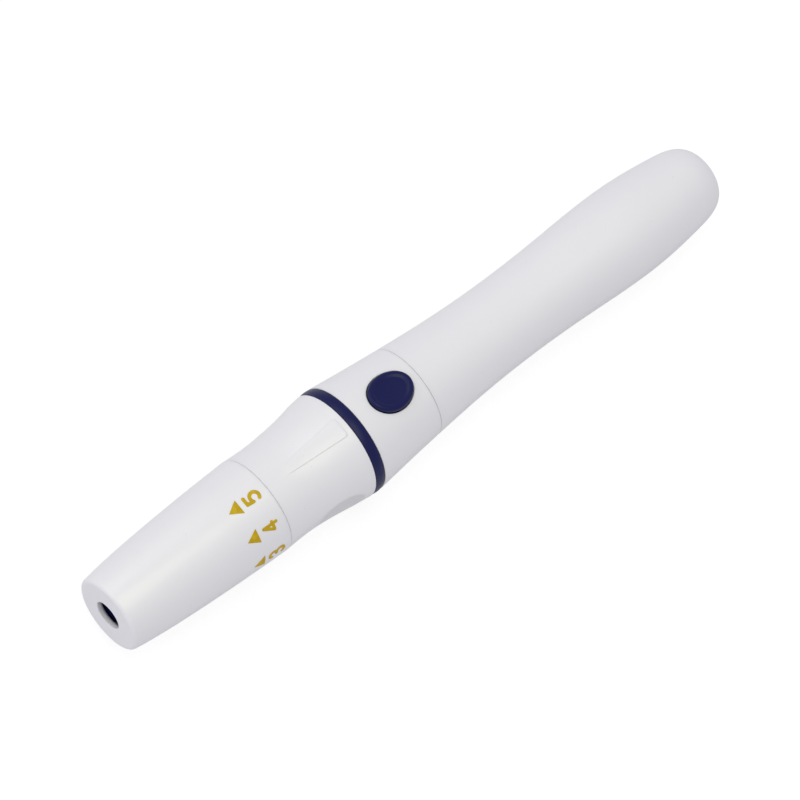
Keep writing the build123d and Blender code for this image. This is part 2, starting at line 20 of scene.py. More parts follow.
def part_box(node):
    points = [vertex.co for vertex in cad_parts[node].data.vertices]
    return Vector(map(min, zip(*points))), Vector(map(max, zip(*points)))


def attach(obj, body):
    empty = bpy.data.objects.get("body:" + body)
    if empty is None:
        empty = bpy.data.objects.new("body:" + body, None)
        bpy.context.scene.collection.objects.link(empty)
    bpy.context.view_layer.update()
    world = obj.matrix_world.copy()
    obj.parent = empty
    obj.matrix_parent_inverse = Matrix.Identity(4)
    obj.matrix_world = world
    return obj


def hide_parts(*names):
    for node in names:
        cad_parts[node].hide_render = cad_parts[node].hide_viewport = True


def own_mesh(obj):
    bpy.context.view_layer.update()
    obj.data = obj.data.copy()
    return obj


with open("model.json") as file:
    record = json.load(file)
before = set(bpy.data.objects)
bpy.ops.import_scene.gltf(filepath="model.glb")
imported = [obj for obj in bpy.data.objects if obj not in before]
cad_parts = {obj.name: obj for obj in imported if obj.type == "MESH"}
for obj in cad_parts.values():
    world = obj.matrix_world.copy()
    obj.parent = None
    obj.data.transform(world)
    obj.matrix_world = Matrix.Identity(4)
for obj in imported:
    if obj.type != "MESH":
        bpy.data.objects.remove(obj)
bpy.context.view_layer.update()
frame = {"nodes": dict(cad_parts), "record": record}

# %% [markdown]
# ## A ruler for the pen
# Almost every piece is round about one line, so a place is best told by three numbers: the
# station, which is the distance from the tip in millimetres, the radius from the axis, and the
# azimuth, the angle round the axis from the top. One function turns them into Blender's metres.
# The same could be done with a rotated parent object, but then every mesh would be turned, and
# a pattern in the material would turn with it.

# %% Stations, radii and azimuths
MM = 0.001
PEN_LENGTH = 118.3
AXIS_HEIGHT = 8.94


def pen_points(station, radius, azimuth):
    """Points about the pen's axis.

    x is the station less half the pen's length, y is the radius times the sine of the azimuth,
    and z is the axis height plus the radius times its cosine, all turned into metres.
    """
    station, radius, azimuth = np.broadcast_arrays(station, radius, azimuth)
    across, up = radius * np.sin(azimuth), AXIS_HEIGHT + radius * np.cos(azimuth)
    return np.stack([station - PEN_LENGTH / 2, across, up], axis=-1) * MM


def plan_points(station, across, height):
    """Points given by station, distance across the pen and height over its axis, in metres."""
    station, across, height = np.broadcast_arrays(station, across, height)
    return np.stack([station - PEN_LENGTH / 2, across, AXIS_HEIGHT + height], axis=-1) * MM


print("tip face at x =", pen_points(0.0, 0.0, 0.0)[0])

# %% [markdown]
# ## From a grid of points to a mesh
# A surface is a function of two parameters. Sampled on a grid, its points are numbered row by
# row, and each cell of the grid is one four-sided face. Blender could add such a grid as a
# primitive and bend it with modifiers, but arrays say exactly where each point goes.
# Where rows shrink to one point, as on a dome, a fan of triangles closes the pole.

# %% Grids, fans and finished pieces


def grid_faces(index, wrap_rows=False, wrap_columns=True):
    """Faces between neighbouring entries of a table of point numbers, closed where it wraps."""
    if wrap_rows:
        index = np.concatenate([index, index[:1]], axis=0)
    if wrap_columns:
        index = np.concatenate([index, index[:, :1]], axis=1)
    corners = [index[:-1, :-1], index[:-1, 1:], index[1:, 1:], index[1:, :-1]]
    return np.stack(corners, axis=-1).reshape(-1, 4)


def fan_faces(ring, pole):
    """Triangles from each pair of neighbours on a closed ring to one pole."""
    return np.stack([ring, np.roll(ring, -1), np.full_like(ring, pole)], axis=-1)


def make_mesh(name, points, face_tables, attributes=None):
    """Mesh object from points and tables of faces, with normals outward and smooth shading."""
    mesh = bpy.data.meshes.new(name)
    faces = [face for table in face_tables for face in table.tolist()]
    mesh.from_pydata(np.asarray(points).reshape(-1, 3).tolist(), [], faces)
    work = bmesh.new()
    work.from_mesh(mesh)
    bmesh.ops.recalc_face_normals(work, faces=work.faces)
    work.to_mesh(mesh)
    work.free()
    mesh.shade_smooth()
    for label, values in (attributes or {}).items():
        values = np.asarray(values, np.float32)
        kind = "FLOAT_VECTOR" if values.ndim == 2 else "FLOAT"
        layer = mesh.attributes.new(label, kind, "POINT")
        layer.data.foreach_set("vector" if values.ndim == 2 else "value", values.ravel())
    piece = bpy.data.objects.new(name, mesh)
    bpy.context.scene.collection.objects.link(piece)
    return piece


def place(piece, body, slot, *nodes):
    """Lets a piece ride on a CAD body and stands it in for CAD nodes, which it hides; slot is not used.
    """
    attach(piece, body)
    if nodes:
        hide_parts(*nodes)
    print(f"{piece.name}: {len(piece.data.vertices)} points on body {body}")
    return piece


print("faces of a closed grid, 4 by 6:", len(grid_faces(np.arange(24).reshape(4, 6))))

# %% [markdown]
# ## Outlines
# The shells have long, calm outlines, so each is a smooth curve through a few measured points.
# A cubic spline does that: between two points it is a cubic, and slope and bending run on from
# one to the next. A Bezier curve drawn by hand would do as well, but here the numbers are the
# CAD model's own, so the look can't drift away from the solids.
# Moulded edges are never sharp. Where two runs of an outline meet, both are cut back a little
# and a conic arc joins them.

# %% Smooth curves and rounded corners


def smooth_curve(knots, count, start=None, end=None):
    """Cubic spline through knots, sampled evenly along its chord length.

    The slopes at the knots solve one linear system, which says that the bending is the same on
    both sides of each inner knot. start and end are directions at the ends; without them the
    curve ends straight.
    """
    knots = np.asarray(knots, float)
    chord = np.hypot(*np.diff(knots, axis=0).T)
    place_along = np.concatenate([[0.0], np.cumsum(chord)])
    size = len(knots)
    matrix, right = np.zeros((size, size)), np.zeros((size, 2))
    inner = np.arange(1, size - 1)
    matrix[inner, inner - 1], matrix[inner, inner + 1] = 1 / chord[:-1], 1 / chord[1:]
    matrix[inner, inner] = 2 / chord[:-1] + 2 / chord[1:]
    steps = np.diff(knots, axis=0) / chord[:, None] ** 2
    right[inner] = 3 * (steps[:-1] + steps[1:])
    for row, neighbour, direction, step in ((0, 1, start, 0), (size - 1, size - 2, end, -1)):
        if direction is None:
            matrix[row, row], matrix[row, neighbour] = 2, 1
            right[row] = 3 * steps[step] * chord[step]
        else:
            matrix[row, row], right[row] = 1, np.asarray(direction) / np.hypot(*direction)
    slopes = np.linalg.solve(matrix, right)
    along = np.linspace(0, place_along[-1], count)
    cell = np.clip(np.searchsorted(place_along, along, side="right") - 1, 0, size - 2)
    width = chord[cell][:, None]
    u = (along - place_along[cell])[:, None] / width
    return (
        (1 + 2 * u) * (1 - u) ** 2 * knots[cell]
        + u * (1 - u) ** 2 * width * slopes[cell]
        + u**2 * (3 - 2 * u) * knots[cell + 1]
        + u**2 * (u - 1) * width * slopes[cell + 1]
    )


def straight(start, end, step=0.4):
    """Evenly spaced points from start to end, no more than a step apart."""
    length = math.dist(start, end)
    return np.linspace(start, end, max(2, math.ceil(length / step) + 1))


def straight_runs(*corners):
    """One straight run between each pair of neighbouring corners."""
    return [straight(a, b) for a, b in zip(corners[:-1], corners[1:])]


def cut_back(run, distance):
    """The run without the given length at its end."""
    length = np.concatenate([[0.0], np.cumsum(np.hypot(*np.diff(run, axis=0).T))])
    stop = length[-1] - distance
    keep = length < stop - 1e-6
    last = [np.interp(stop, length, run[:, k]) for k in (0, 1)]
    return np.vstack([run[keep], last])


def join_runs(runs, roundings, closed=True):
    """One outline from runs that meet end to end, with a rounding at the end of each run.

    A corner C between the cut ends A and B becomes the conic
    ((1-u)^2 A + 2u(1-u)w C + u^2 B) / ((1-u)^2 + 2u(1-u)w + u^2), where w is the cosine of half
    the turn, which makes it part of a circle.
    """
    u = np.linspace(0, 1, 7)[1:-1, None]
    runs, pieces = list(runs), []
    for k, rounding in enumerate(roundings):
        follower = (k + 1) % len(runs)
        corner = runs[k][-1]
        if rounding > 0 and (closed or k < len(runs) - 1):
            runs[k] = cut_back(runs[k], rounding)
            runs[follower] = cut_back(runs[follower][::-1], rounding)[::-1]
            a, b = runs[k][-1], runs[follower][0]
            turn = np.dot(corner - a, b - corner) / rounding**2
            w = math.sqrt(max(0.05, (1 + turn) / 2))
            weight = (1 - u) ** 2 + 2 * u * (1 - u) * w + u**2
            pieces.append(((1 - u) ** 2 * a + 2 * u * (1 - u) * w * corner + u**2 * b) / weight)
        else:
            pieces.append(np.empty((0, 2)))
    points = []
    for k, run in enumerate(runs):
        joined = len(pieces[k]) > 0 or (not closed and k == len(runs) - 1)
        points += [run if joined else run[:-1], pieces[k]]
    return np.vstack(points)


square = straight_runs((0, 0), (2, 0), (2, 2), (0, 2), (0, 0))
print("a square with round corners:", len(join_runs(square, [0.5] * 4)), "points")

# %% [markdown]
# ## Turning an outline
# A closed outline carried round the axis gives a shell with its outside, its edges and its
# inside in one sealed surface, as the real moulding has. Blender's Screw modifier does this
# too, but the function below also takes a shape rule that may move each point's radius, and
# azimuths that may differ from row to row. That is how notches, pockets and a raised panel get
# into a round part.
# Each shell also carries a number from 0 to 1 that rises at its seams. The finish uses it for
# the faint dirt that a seam collects.

# %% Turned shells
SEAM_REACH = 0.22


def seam_values(stations, seams):
    """How near a station is to a seam: 1 at the seam, falling to a third within the reach."""
    if not seams:
        return np.zeros_like(stations)
    distance = np.abs(stations[..., None] - np.asarray(seams)).min(axis=-1)
    return np.exp(-distance / SEAM_REACH)


def turned_shell(name, outline, azimuths, seams=(), shape=None, poles=False):
    """Surface of an outline turned about the pen's axis.

    Point (i, j) has the outline's station i, its radius i as changed by the shape rule, and
    azimuth j. With poles, the outline's two ends lie on the axis and become single points.
    """
    body_rows = outline[1:-1] if poles else outline
    station, radius = body_rows[:, :1], body_rows[:, 1:]
    azimuth = np.broadcast_to(azimuths, (len(body_rows), np.shape(azimuths)[-1]))
    station = np.broadcast_to(station, azimuth.shape)
    radius = np.broadcast_to(radius, azimuth.shape)
    if shape is not None:
        radius = shape(station, radius, azimuth)
    points = pen_points(station, radius, azimuth).reshape(-1, 3)
    seam = seam_values(station, seams).ravel()
    index = np.arange(azimuth.size).reshape(azimuth.shape)
    tables = [grid_faces(index, wrap_rows=not poles)]
    if poles:
        ends = pen_points(outline[[0, -1], 0], 0.0, 0.0)
        points = np.vstack([points, ends])
        seam = np.concatenate([seam, [0.0, 0.0]])
        tables += [fan_faces(index[0], azimuth.size), fan_faces(index[-1], azimuth.size + 1)]
    return make_mesh(name, points, tables, {"seam": seam})


def even_azimuths(count):
    """Azimuths all round, starting at the top."""
    return np.arange(count) * 2 * np.pi / count


def smooth_step(value):
    """0 below 0, 1 above 1, and 3v^2 - 2v^3 between, which starts and ends level."""
    value = np.clip(value, 0, 1)
    return value * value * (3 - 2 * value)


print("smooth step at 0.1, 0.5 and 0.9:", smooth_step(np.array([0.1, 0.5, 0.9])).round(3))

# %% [markdown]
# ## The depth dial
# The dial is the white tip shell. The user turns it, and a stop inside moves along the axis, so
# the lancet's point comes out less or more. Its face is flat with a round edge, which presses
# on the skin, and the hole lets the needle through. Inside are a groove for the ring that holds
# it on the neck and five round notches for the click spring.

# %% The dial's outline
TIP_FACE, TIP_ROUNDING = 5.45, 0.7
DIAL_REAR, DIAL_REAR_RADIUS = 28.13, 7.83
NEEDLE_HOLE = 2.3
DIAL_BORE = 6.35
STOP_BORE = 5.0
RETAINER_AT = 20.0
GROOVE_FRONT, GROOVE_REAR = RETAINER_AT - 0.6, RETAINER_AT + 0.6
tip_arc = np.linspace(0, np.pi / 2, 16)
tip_round = np.stack([1 - np.cos(tip_arc), np.sin(tip_arc)], axis=-1) * TIP_ROUNDING
dial_curve = smooth_curve(
    [(TIP_ROUNDING, TIP_FACE + TIP_ROUNDING), (12.04, 7.18), (DIAL_REAR, DIAL_REAR_RADIUS)], 88,
    start=(1, 0.14), end=(1, 0.02),
)
dial_bore_runs = straight_runs(
    (DIAL_REAR, DIAL_REAR_RADIUS),
    (DIAL_REAR, DIAL_BORE),
    (GROOVE_REAR, DIAL_BORE),
    (GROOVE_REAR, 6.85),
    (GROOVE_FRONT, 6.85),
    (GROOVE_FRONT, DIAL_BORE),
    (14.0, DIAL_BORE),
    (14.0, STOP_BORE),
    (1.1, STOP_BORE),
    (1.1, NEEDLE_HOLE),
    (0.0, NEEDLE_HOLE),
)
tip_face = straight((0.0, NEEDLE_HOLE), (0.0, TIP_FACE), 0.2)
dial_runs = [tip_face, tip_round + (0.0, TIP_FACE), dial_curve] + dial_bore_runs
dial_roundings = [0, 0, 0.09, 0.1, 0, 0, 0, 0, 0.1, 0.1, 0.1, 0.5, 0.2]
dial_outline = join_runs(dial_runs, dial_roundings)
print("dial outline:", len(dial_outline), "points")

# %% The dial, with its click notches
SETTINGS = 5
SETTING_ANGLE = math.radians(38)
CLICK_AT = 25.0
NOTCH_MIDDLE, NOTCH_RADIUS = 6.0, 0.85


def setting_azimuth(number):
    """Azimuth of a setting; they follow each other from the top towards -Y."""
    return -number * SETTING_ANGLE


def notched_bore(station, radius, azimuth):
    """Radius of the dial with five round notches in its bore.

    A notch is part of a circle, and a ray from the axis meets it at the radius
    m cos(t) + sqrt(n^2 - (m sin(t))^2), where m is how far its middle is from the axis, n its
    own radius and t the turn from its middle.
    """
    in_bore = (radius < DIAL_BORE + 0.05) & (np.abs(station - CLICK_AT) < 1.2)
    for number in range(SETTINGS):
        turn = (azimuth - setting_azimuth(number) + np.pi) % (2 * np.pi) - np.pi
        side = NOTCH_MIDDLE * np.sin(turn)
        deep = NOTCH_MIDDLE * np.cos(turn) + np.sqrt(np.clip(NOTCH_RADIUS**2 - side**2, 0, None))
        hit = in_bore & (np.abs(turn) < 0.3) & (np.abs(side) < NOTCH_RADIUS)
        radius = np.where(hit, np.maximum(radius, deep), radius)
    return radius


dial = turned_shell(
    "dial_shell", dial_outline, even_azimuths(224), seams=[DIAL_REAR], shape=notched_bore
)
place(dial, "dial", "white_shell", "depth_dial")

# %% [markdown]
# ## The printed marks
# Each setting has a number and a solid pointer, printed in gold by a soft pad. A pad leaves a
# film of ink a few hundredths of a millimetre thick with slightly rounded ends. A texture could
# show it, but real film catches light at its edge, so every pen stroke is a thin cushion: a
# centre line with a width, laid on the dial's curved skin. Right and up in the plan of a
# number become azimuth and station on the shell.

# %% The dial's skin, and strokes laid on it
INK_HEIGHT = 0.045
STROKE_WIDTH = 0.56
FOUR_WIDTH = 0.49
MARK_TURN = math.radians(2)


def dial_radius(station):
    """Radius of the dial's outside at a station."""
    return np.interp(station, dial_curve[:, 0], dial_curve[:, 1])


def on_dial(right, up, lift, number, station):
    """Lays plan points on the dial: right becomes azimuth and up goes towards the tip."""
    where = station - up
    radius = dial_radius(where)
    azimuth = setting_azimuth(number) - MARK_TURN
    return pen_points(where, radius + lift, azimuth + right / radius)


def stroke_table(path, width):
    """Plan points and heights of one stroke, a cushion along a path with half-round ends.

    The path is lengthened by half the width at each end. At distance d inside such an end the
    half width is sqrt(h^2 - (h-d)^2). Across the stroke, v runs from one edge to the other over
    the top and back underneath.
    """
    half = width / 2
    path = np.asarray(path, float)
    first, last = path[0] - path[1], path[-1] - path[-2]
    start = path[0] + first / np.hypot(*first) * half
    end = path[-1] + last / np.hypot(*last) * half
    path = np.vstack([start, path, end])
    length = np.concatenate([[0.0], np.cumsum(np.hypot(*np.diff(path, axis=0).T))])
    inside = np.linspace(0, length[-1], 30)[1:-1]
    caps = half * (1 - np.cos(np.linspace(0.06, np.pi / 2, 8)))
    along = np.unique(np.concatenate([caps, inside, length[-1] - caps]))
    centre = np.stack([np.interp(along, length, path[:, k]) for k in (0, 1)], axis=-1)
    direction = np.gradient(centre, along, axis=0)
    direction /= np.hypot(*direction.T)[:, None]
    side = np.stack([-direction[:, 1], direction[:, 0]], axis=-1)
    from_end = np.minimum(along, length[-1] - along)
    breadth = np.sqrt(np.clip(half**2 - np.clip(half - from_end, 0, None) ** 2, 1e-8, None))
    across = np.array([-1.0, -0.97, -0.8, -0.3, 0.3, 0.8, 0.97, 1.0, 0.5, 0.0, -0.5])
    lift = np.array([0.1, 0.72, 0.96, 1.0, 1.0, 0.96, 0.72, 0.1, -0.6, -0.6, -0.6]) * INK_HEIGHT
    plan = centre[:, None, :] + side[:, None, :] * (breadth[:, None] * across)[..., None]
    return plan, np.broadcast_to(lift, plan.shape[:2])


print("dial radius at 10 and 25 mm:", dial_radius(np.array([10.0, 25.0])).round(2))

# %% The shapes of the numbers and the pointer
DIGIT_WIDTH = 1.25
DIGIT_HEIGHT = 2.3


def arc_path(start, middle, end, count=24):
    """Points on the circle through three points, from the first by the second to the third.

    The centre solves the two equations that put it equally far from all three.
    """
    a, b, c = (np.asarray(p, float) for p in (start, middle, end))
    matrix = 2 * np.array([b - a, c - a])
    centre = np.linalg.solve(matrix, [b @ b - a @ a, c @ c - a @ a])
    angles = [math.atan2(*(p - centre)[::-1]) for p in (a, b, c)]
    span = (angles[2] - angles[0]) % (2 * math.pi)
    if (angles[1] - angles[0]) % (2 * math.pi) > span:
        span -= 2 * math.pi
    turn = angles[0] + np.linspace(0, span, count)
    return centre + math.dist(a, centre) * np.stack([np.cos(turn), np.sin(turn)], axis=-1)


def digit_paths(digit):
    """Centre lines of a digit's strokes, in millimetres about its middle."""
    left, right = -DIGIT_WIDTH / 2, DIGIT_WIDTH / 2
    low, high, waist = -DIGIT_HEIGHT / 2, DIGIT_HEIGHT / 2, 0.1
    return {
        5: [
            [(right * 0.9, high), (left * 0.8, high)],
            [(left * 0.8, high), (left, waist)],
            arc_path((left, waist), (right, low + 0.65), (left, low + 0.15)),
        ],
        4: [
            [(right * 0.5, high), (left, low + 0.65)],
            [(left, low + 0.65), (right, low + 0.65)],
            [(right * 0.5, high), (right * 0.5, low)],
        ],
        3: [
            arc_path((left, high - 0.2), (right * 0.85, high - 0.57), (left * 0.2, waist)),
            arc_path((left * 0.2, waist), (right, low + 0.65), (left, low + 0.2)),
        ],
        2: [
            arc_path((left, high - 0.45), (right * 0.5, high - 0.02), (right * 0.7, high - 1.05)),
            [(right * 0.7, high - 1.05), (left, low)],
            [(left, low), (right, low)],
        ],
        1: [[(left * 0.6, high - 0.45), (0, high)], [(0, high), (0, low)]],
    }[digit]


def pointer_table():
    """Plan points and heights of the solid pointer.

    Its rim is a triangle with rounded corners, and the rows shrink that rim towards its middle.
    """
    triangle = [(-1.2, 0.0), (0.0, 2.03), (1.2, 0.0), (-1.2, 0.0)]
    rim = join_runs(straight_runs(*triangle), [0.1, 0.1, 0.1])
    middle = np.array([0.0, 0.65])
    scale = np.array([0.3, 0.7, 0.96, 1.0, 1.0, 0.9, 0.4])
    lift = np.array([1.0, 1.0, 0.9, 0.6, 0.1, -0.6, -0.6]) * INK_HEIGHT
    plan = middle + scale[:, None, None] * (rim - middle)
    return plan, np.broadcast_to(lift[:, None], plan.shape[:2])


print("strokes of each digit:", {digit: len(digit_paths(digit)) for digit in (5, 4, 3, 2, 1)})

# %% Print the marks on the dial
DIGIT_AT = 25.37
POINTER_AT = 23.16


def closed_cushion(plan, lift, centre_rows, first):
    """Faces of one stroke or pointer, closed at the two ends of its table by fans."""
    index = first + np.arange(lift.size).reshape(lift.shape)
    poles = first + lift.size + np.arange(2)
    tables = [grid_faces(index), fan_faces(index[0], poles[0]), fan_faces(index[-1], poles[1])]
    plan_all = np.vstack([plan.reshape(-1, 2), centre_rows])
    lift_all = np.concatenate([lift.ravel(), lift[[0, -1]].mean(axis=1)])
    return plan_all, lift_all, tables


mark_points, mark_tables, mark_count = [], [], 0
for number in range(SETTINGS):
    digit = SETTINGS - number
    width = FOUR_WIDTH if digit == 4 else STROKE_WIDTH
    shapes = [(stroke_table(path, width), DIGIT_AT) for path in digit_paths(digit)]
    shapes.append((pointer_table(), POINTER_AT))
    for (plan, lift), station in shapes:
        ends = np.array([plan[0].mean(axis=0), plan[-1].mean(axis=0)])
        plan_all, lift_all, tables = closed_cushion(plan, lift, ends, mark_count)
        mark_points.append(on_dial(plan_all[:, 0], plan_all[:, 1], lift_all, number, station))
        mark_tables += tables
        mark_count += len(plan_all)
marks = make_mesh("dial_print", np.vstack(mark_points), mark_tables)
place(marks, "dial", "gold_print", "dial_marks")

# %% [markdown]
# ## The cap sleeve
# The sleeve is the flared shell behind the dial, and with the dial it makes the cap that comes
# off to change the lancet. On each side it has a shallow finger recess with a crisp rim and a
# slightly rougher floor, which is painted a little greyer than the shell as painted shade for
# the recess. On top a narrow tapered panel stands a tenth of a millimetre proud, in line with
# the number that is set.
# A regular grid would show both edges as tiny stairs. So the azimuths are not the same on each
# row: they are spread between knots that follow the edge of the panel and the rim of the
# recess, and each edge lies exactly along a line of the grid.

# %% The sleeve's outline
SLEEVE_FRONT = 28.17
SLEEVE_REAR = 43.6
NECK_FRONT = 14.3
NECK_RADIUS = 6.3
NECK_BORE = 4.6
CAP_BORE = 6.65
sleeve_curve = smooth_curve(
    [(SLEEVE_FRONT, 7.79), (33.62, 7.72), (39.548, 8.42), (SLEEVE_REAR, 8.88)], 120
)
sleeve_runs = [sleeve_curve] + straight_runs(
    (SLEEVE_REAR, 8.88),
    (SLEEVE_REAR, CAP_BORE),
    (30.0, CAP_BORE),
    (30.0, NECK_BORE),
    (NECK_FRONT, NECK_BORE),
    (NECK_FRONT, NECK_RADIUS),
    (GROOVE_FRONT, NECK_RADIUS),
    (GROOVE_FRONT, 5.75),
    (GROOVE_REAR, 5.75),
    (GROOVE_REAR, NECK_RADIUS),
    (SLEEVE_FRONT, NECK_RADIUS),
    (SLEEVE_FRONT, 7.79),
)
sleeve_roundings = [0.12, 0.3, 0.1, 0.15, 0.15, 0.15, 0, 0, 0, 0, 0, 0.08]
sleeve_outline = join_runs(sleeve_runs, sleeve_roundings)
print("sleeve outline:", len(sleeve_outline), "points")

# %% The panel, the recesses and the pockets in the neck
PANEL_FRONT, PANEL_REAR = 31.1, 42.6
PANEL_HALF_FRONT, PANEL_HALF_GROWTH = 0.65, 0.95
PANEL_CORNER = 0.45
PANEL_LIFT = 0.12
PANEL_EDGE, PANEL_FAR_EDGE = 0.09, 0.4
RECESS_CURVE, RECESS_SIDE, RECESS_AT = 17.5, 7.6, 35.8
RECESS_DISH = 0.4
SLOT_REAR, SLOT_HALF_WIDTH, SLOT_FLOOR = 22.2, 1.55, 5.0
POCKET_HALF_LENGTH, POCKET_HALF_WIDTH, POCKET_FLOOR = 2.1, 1.05, 5.4


def panel_half_width(station):
    """Half the panel's width, which grows evenly from its front end to its rear end."""
    share = np.clip((station - PANEL_FRONT) / (PANEL_REAR - PANEL_FRONT), 0, 1)
    return PANEL_HALF_FRONT + PANEL_HALF_GROWTH * share


def recess_side(station):
    """Distance across the pen of the recess wall, a large upright cylinder beside the pen."""
    along = np.clip(station - RECESS_AT, -15, 15)
    return RECESS_SIDE + RECESS_CURVE - np.sqrt(RECESS_CURVE**2 - along**2)


def sleeve_azimuths(station, radius):
    """Azimuths of each row, spread between the panel's edge, the recess rim and the sides."""
    panel = panel_half_width(station) / radius
    rim = np.arcsin(np.clip(recess_side(station) / radius, 0, 0.9996))
    edge = PANEL_EDGE / radius
    outer_rim, side = np.maximum(rim, math.radians(55)), np.full_like(rim, np.pi / 2)
    zero = np.zeros_like(rim)
    knots = [zero, panel - edge, panel, panel + edge, outer_rim, side]
    counts = [8, 3, 3, 22, 12]
    parts = [
        a + (b - a) * np.arange(n) / n for a, b, n in zip(knots[:-1], knots[1:], counts)
    ]
    quarter = np.concatenate(parts, axis=1)
    bottom = np.full_like(rim, np.pi)
    half = np.concatenate([quarter, side, np.pi - quarter[:, :0:-1], bottom], axis=1)
    return np.concatenate([half, 2 * np.pi - half[:, -2:0:-1]], axis=1)


def on_outer_face(station, radius):
    """Whether a point is on the sleeve's outside, and not in its bore or on its front end."""
    return (radius > 7.2) & (station > SLEEVE_FRONT + 0.2)


def sleeve_shape(station, radius, azimuth):
    """Radius of the sleeve with its panel, its recesses and the pockets in its neck.

    The panel adds its lift times a smooth step of the distance inside its edge; near a rear
    corner that distance is measured from a small circle, which rounds the corner. The step is
    narrow on the -Y edge and widens towards the other, which melts into the shell. A recess
    limits the distance across the pen to that of its wall, less a dish that grows from nothing
    at the rim to two fifths of the recess's depth in its middle. The slots and the pocket
    replace the radius in a window.
    """
    outside = on_outer_face(station, radius)
    across = radius * np.abs(np.sin(azimuth))
    top = np.cos(azimuth) > 0
    over_side = across - panel_half_width(station) + PANEL_CORNER
    over_end = np.maximum(station - PANEL_REAR, PANEL_FRONT - station) + PANEL_CORNER
    outward = np.hypot(np.clip(over_side, 0, None), np.clip(over_end, 0, None))
    inside = PANEL_CORNER - outward - np.minimum(np.maximum(over_side, over_end), 0)
    fade = smooth_step((station - PANEL_FRONT) / 2.5)
    far = smooth_step(0.5 + radius * np.sin(azimuth) / (2 * panel_half_width(station)))
    edge = PANEL_EDGE + (PANEL_FAR_EDGE - PANEL_EDGE) * far
    lift = PANEL_LIFT * fade * smooth_step(inside / edge + 0.5)
    radius = np.where(outside & top, radius + lift, radius)
    wall = recess_side(station)
    dish = RECESS_DISH * np.clip(across**2 - wall**2, 0, None) / (radius + wall)
    limit = (wall - dish) / np.maximum(np.abs(np.sin(azimuth)), 1e-3)
    radius = np.where(outside, np.minimum(radius, limit), radius)
    slot = (np.abs(radius - NECK_BORE) < 0.05) & (station < SLOT_REAR)
    slot &= np.abs(radius * np.cos(azimuth)) < SLOT_HALF_WIDTH
    radius = np.where(slot, SLOT_FLOOR, radius)
    pocket = np.abs(radius - NECK_RADIUS) < 0.05
    pocket &= np.abs(station - CLICK_AT) < POCKET_HALF_LENGTH
    pocket &= (radius * np.abs(np.sin(azimuth)) < POCKET_HALF_WIDTH) & top
    return np.where(pocket, POCKET_FLOOR, radius)


def recess_shade_share(station, radius, azimuth):
    """Painted shade mask, 1 on a recess floor and 0 elsewhere, rising within a twentieth of a mm."""
    deep = radius * np.abs(np.sin(azimuth)) - recess_side(station)
    return np.where(on_outer_face(station, radius), np.clip(deep / 0.05, 0, 1), 0.0)


sleeve_lines = sleeve_azimuths(sleeve_outline[:, :1], sleeve_outline[:, 1:])
sleeve = turned_shell(
    "sleeve_shell", sleeve_outline, sleeve_lines,
    seams=[SLEEVE_FRONT, SLEEVE_REAR], shape=sleeve_shape,
)
# The recess floors carry this mask; the white finish paints them greyer with it as painted shade, and
# makes them a little rougher.
recess_shade_mask = recess_shade_share(sleeve_outline[:, :1], sleeve_outline[:, 1:], sleeve_lines)
recess_shade_layer = sleeve.data.attributes.new("recess_shade_mask", "FLOAT", "POINT")
recess_shade_layer.data.foreach_set("value", recess_shade_mask.ravel().astype(np.float32))
print("recess floors:", int((recess_shade_mask > 0.5).sum()), "points")
place(sleeve, "cap", "white_shell", "cap_sleeve")

# %% [markdown]
# ## The accent ring and the nose collar
# The navy ring marks the widest place, where the cap meets the body. It is slightly crowned,
# so it draws a thin line of light. Behind the cap, hidden until it comes off, stands the collar
# that the cap pushes onto, with a lead-in at its mouth and a low snap bead.

# %% Ring and collar
RING_FRONT, RING_REAR = 43.66, 45.4
ring_crown = smooth_curve(
    [(RING_FRONT, 8.81), ((RING_FRONT + RING_REAR) / 2, 8.94), (RING_REAR, 8.83)], 24,
    start=(1, 0.24), end=(1, -0.22),
)
ring_runs = [ring_crown] + straight_runs(
    (RING_REAR, 8.83), (RING_REAR, 6.66), (RING_FRONT, 6.66), (RING_FRONT, 8.81)
)
ring = turned_shell(
    "accent_ring_shell", join_runs(ring_runs, [0.12, 0.1, 0.1, 0.12]), even_azimuths(224),
    seams=[RING_FRONT, RING_REAR],
)
place(ring, "body", "navy_plastic", "accent_ring")

NOSE_FRONT, NOSE_REAR = 31.4, 48.25
BEAD_AT, BEAD_REACH, BEAD_HEIGHT = 41.0, 0.5, 0.04
nose_runs = straight_runs(
    (NOSE_FRONT, 5.5), (NOSE_FRONT, 6.3), (NOSE_FRONT + 0.4, 6.6), (RING_REAR, 6.6),
    (RING_REAR, 6.45), (NOSE_REAR, 6.45), (NOSE_REAR, 4.65), (46.35, 4.65), (46.35, 5.5),
    (NOSE_FRONT, 5.5),
)


def snap_bead(station, radius, azimuth):
    """Radius with a low bead round the collar: the bump (1 - d^2)^2, with d from -1 to 1."""
    bump = np.clip(1 - ((station - BEAD_AT) / BEAD_REACH) ** 2, 0, None) ** 2
    return np.where(radius > 6.55, radius + BEAD_HEIGHT * bump, radius)


collar = turned_shell(
    "nose_collar_shell", join_runs(nose_runs, [0.1, 0.12, 0.25, 0, 0.1, 0.1, 0, 0.1, 0.12]),
    even_azimuths(128), shape=snap_bead,
)
place(collar, "body", "inner_plastic", "nose_collar")

# %% [markdown]
# ## The front body and its oval hole
# The shell behind the ring narrows towards the handle, and the release button stands in an oval
# hole in its top. A Boolean cut would leave ragged triangles round the hole, and they show as
# creases in a glossy finish. Instead the turned shell leaves a rectangular window open, outside
# and inside, and a second grid runs from the outer window to the rim of the oval, over its
# rounded lip, down the wall of the hole and out to the inner window. The two grids share the
# points on the windows' borders, so the shell stays sealed.

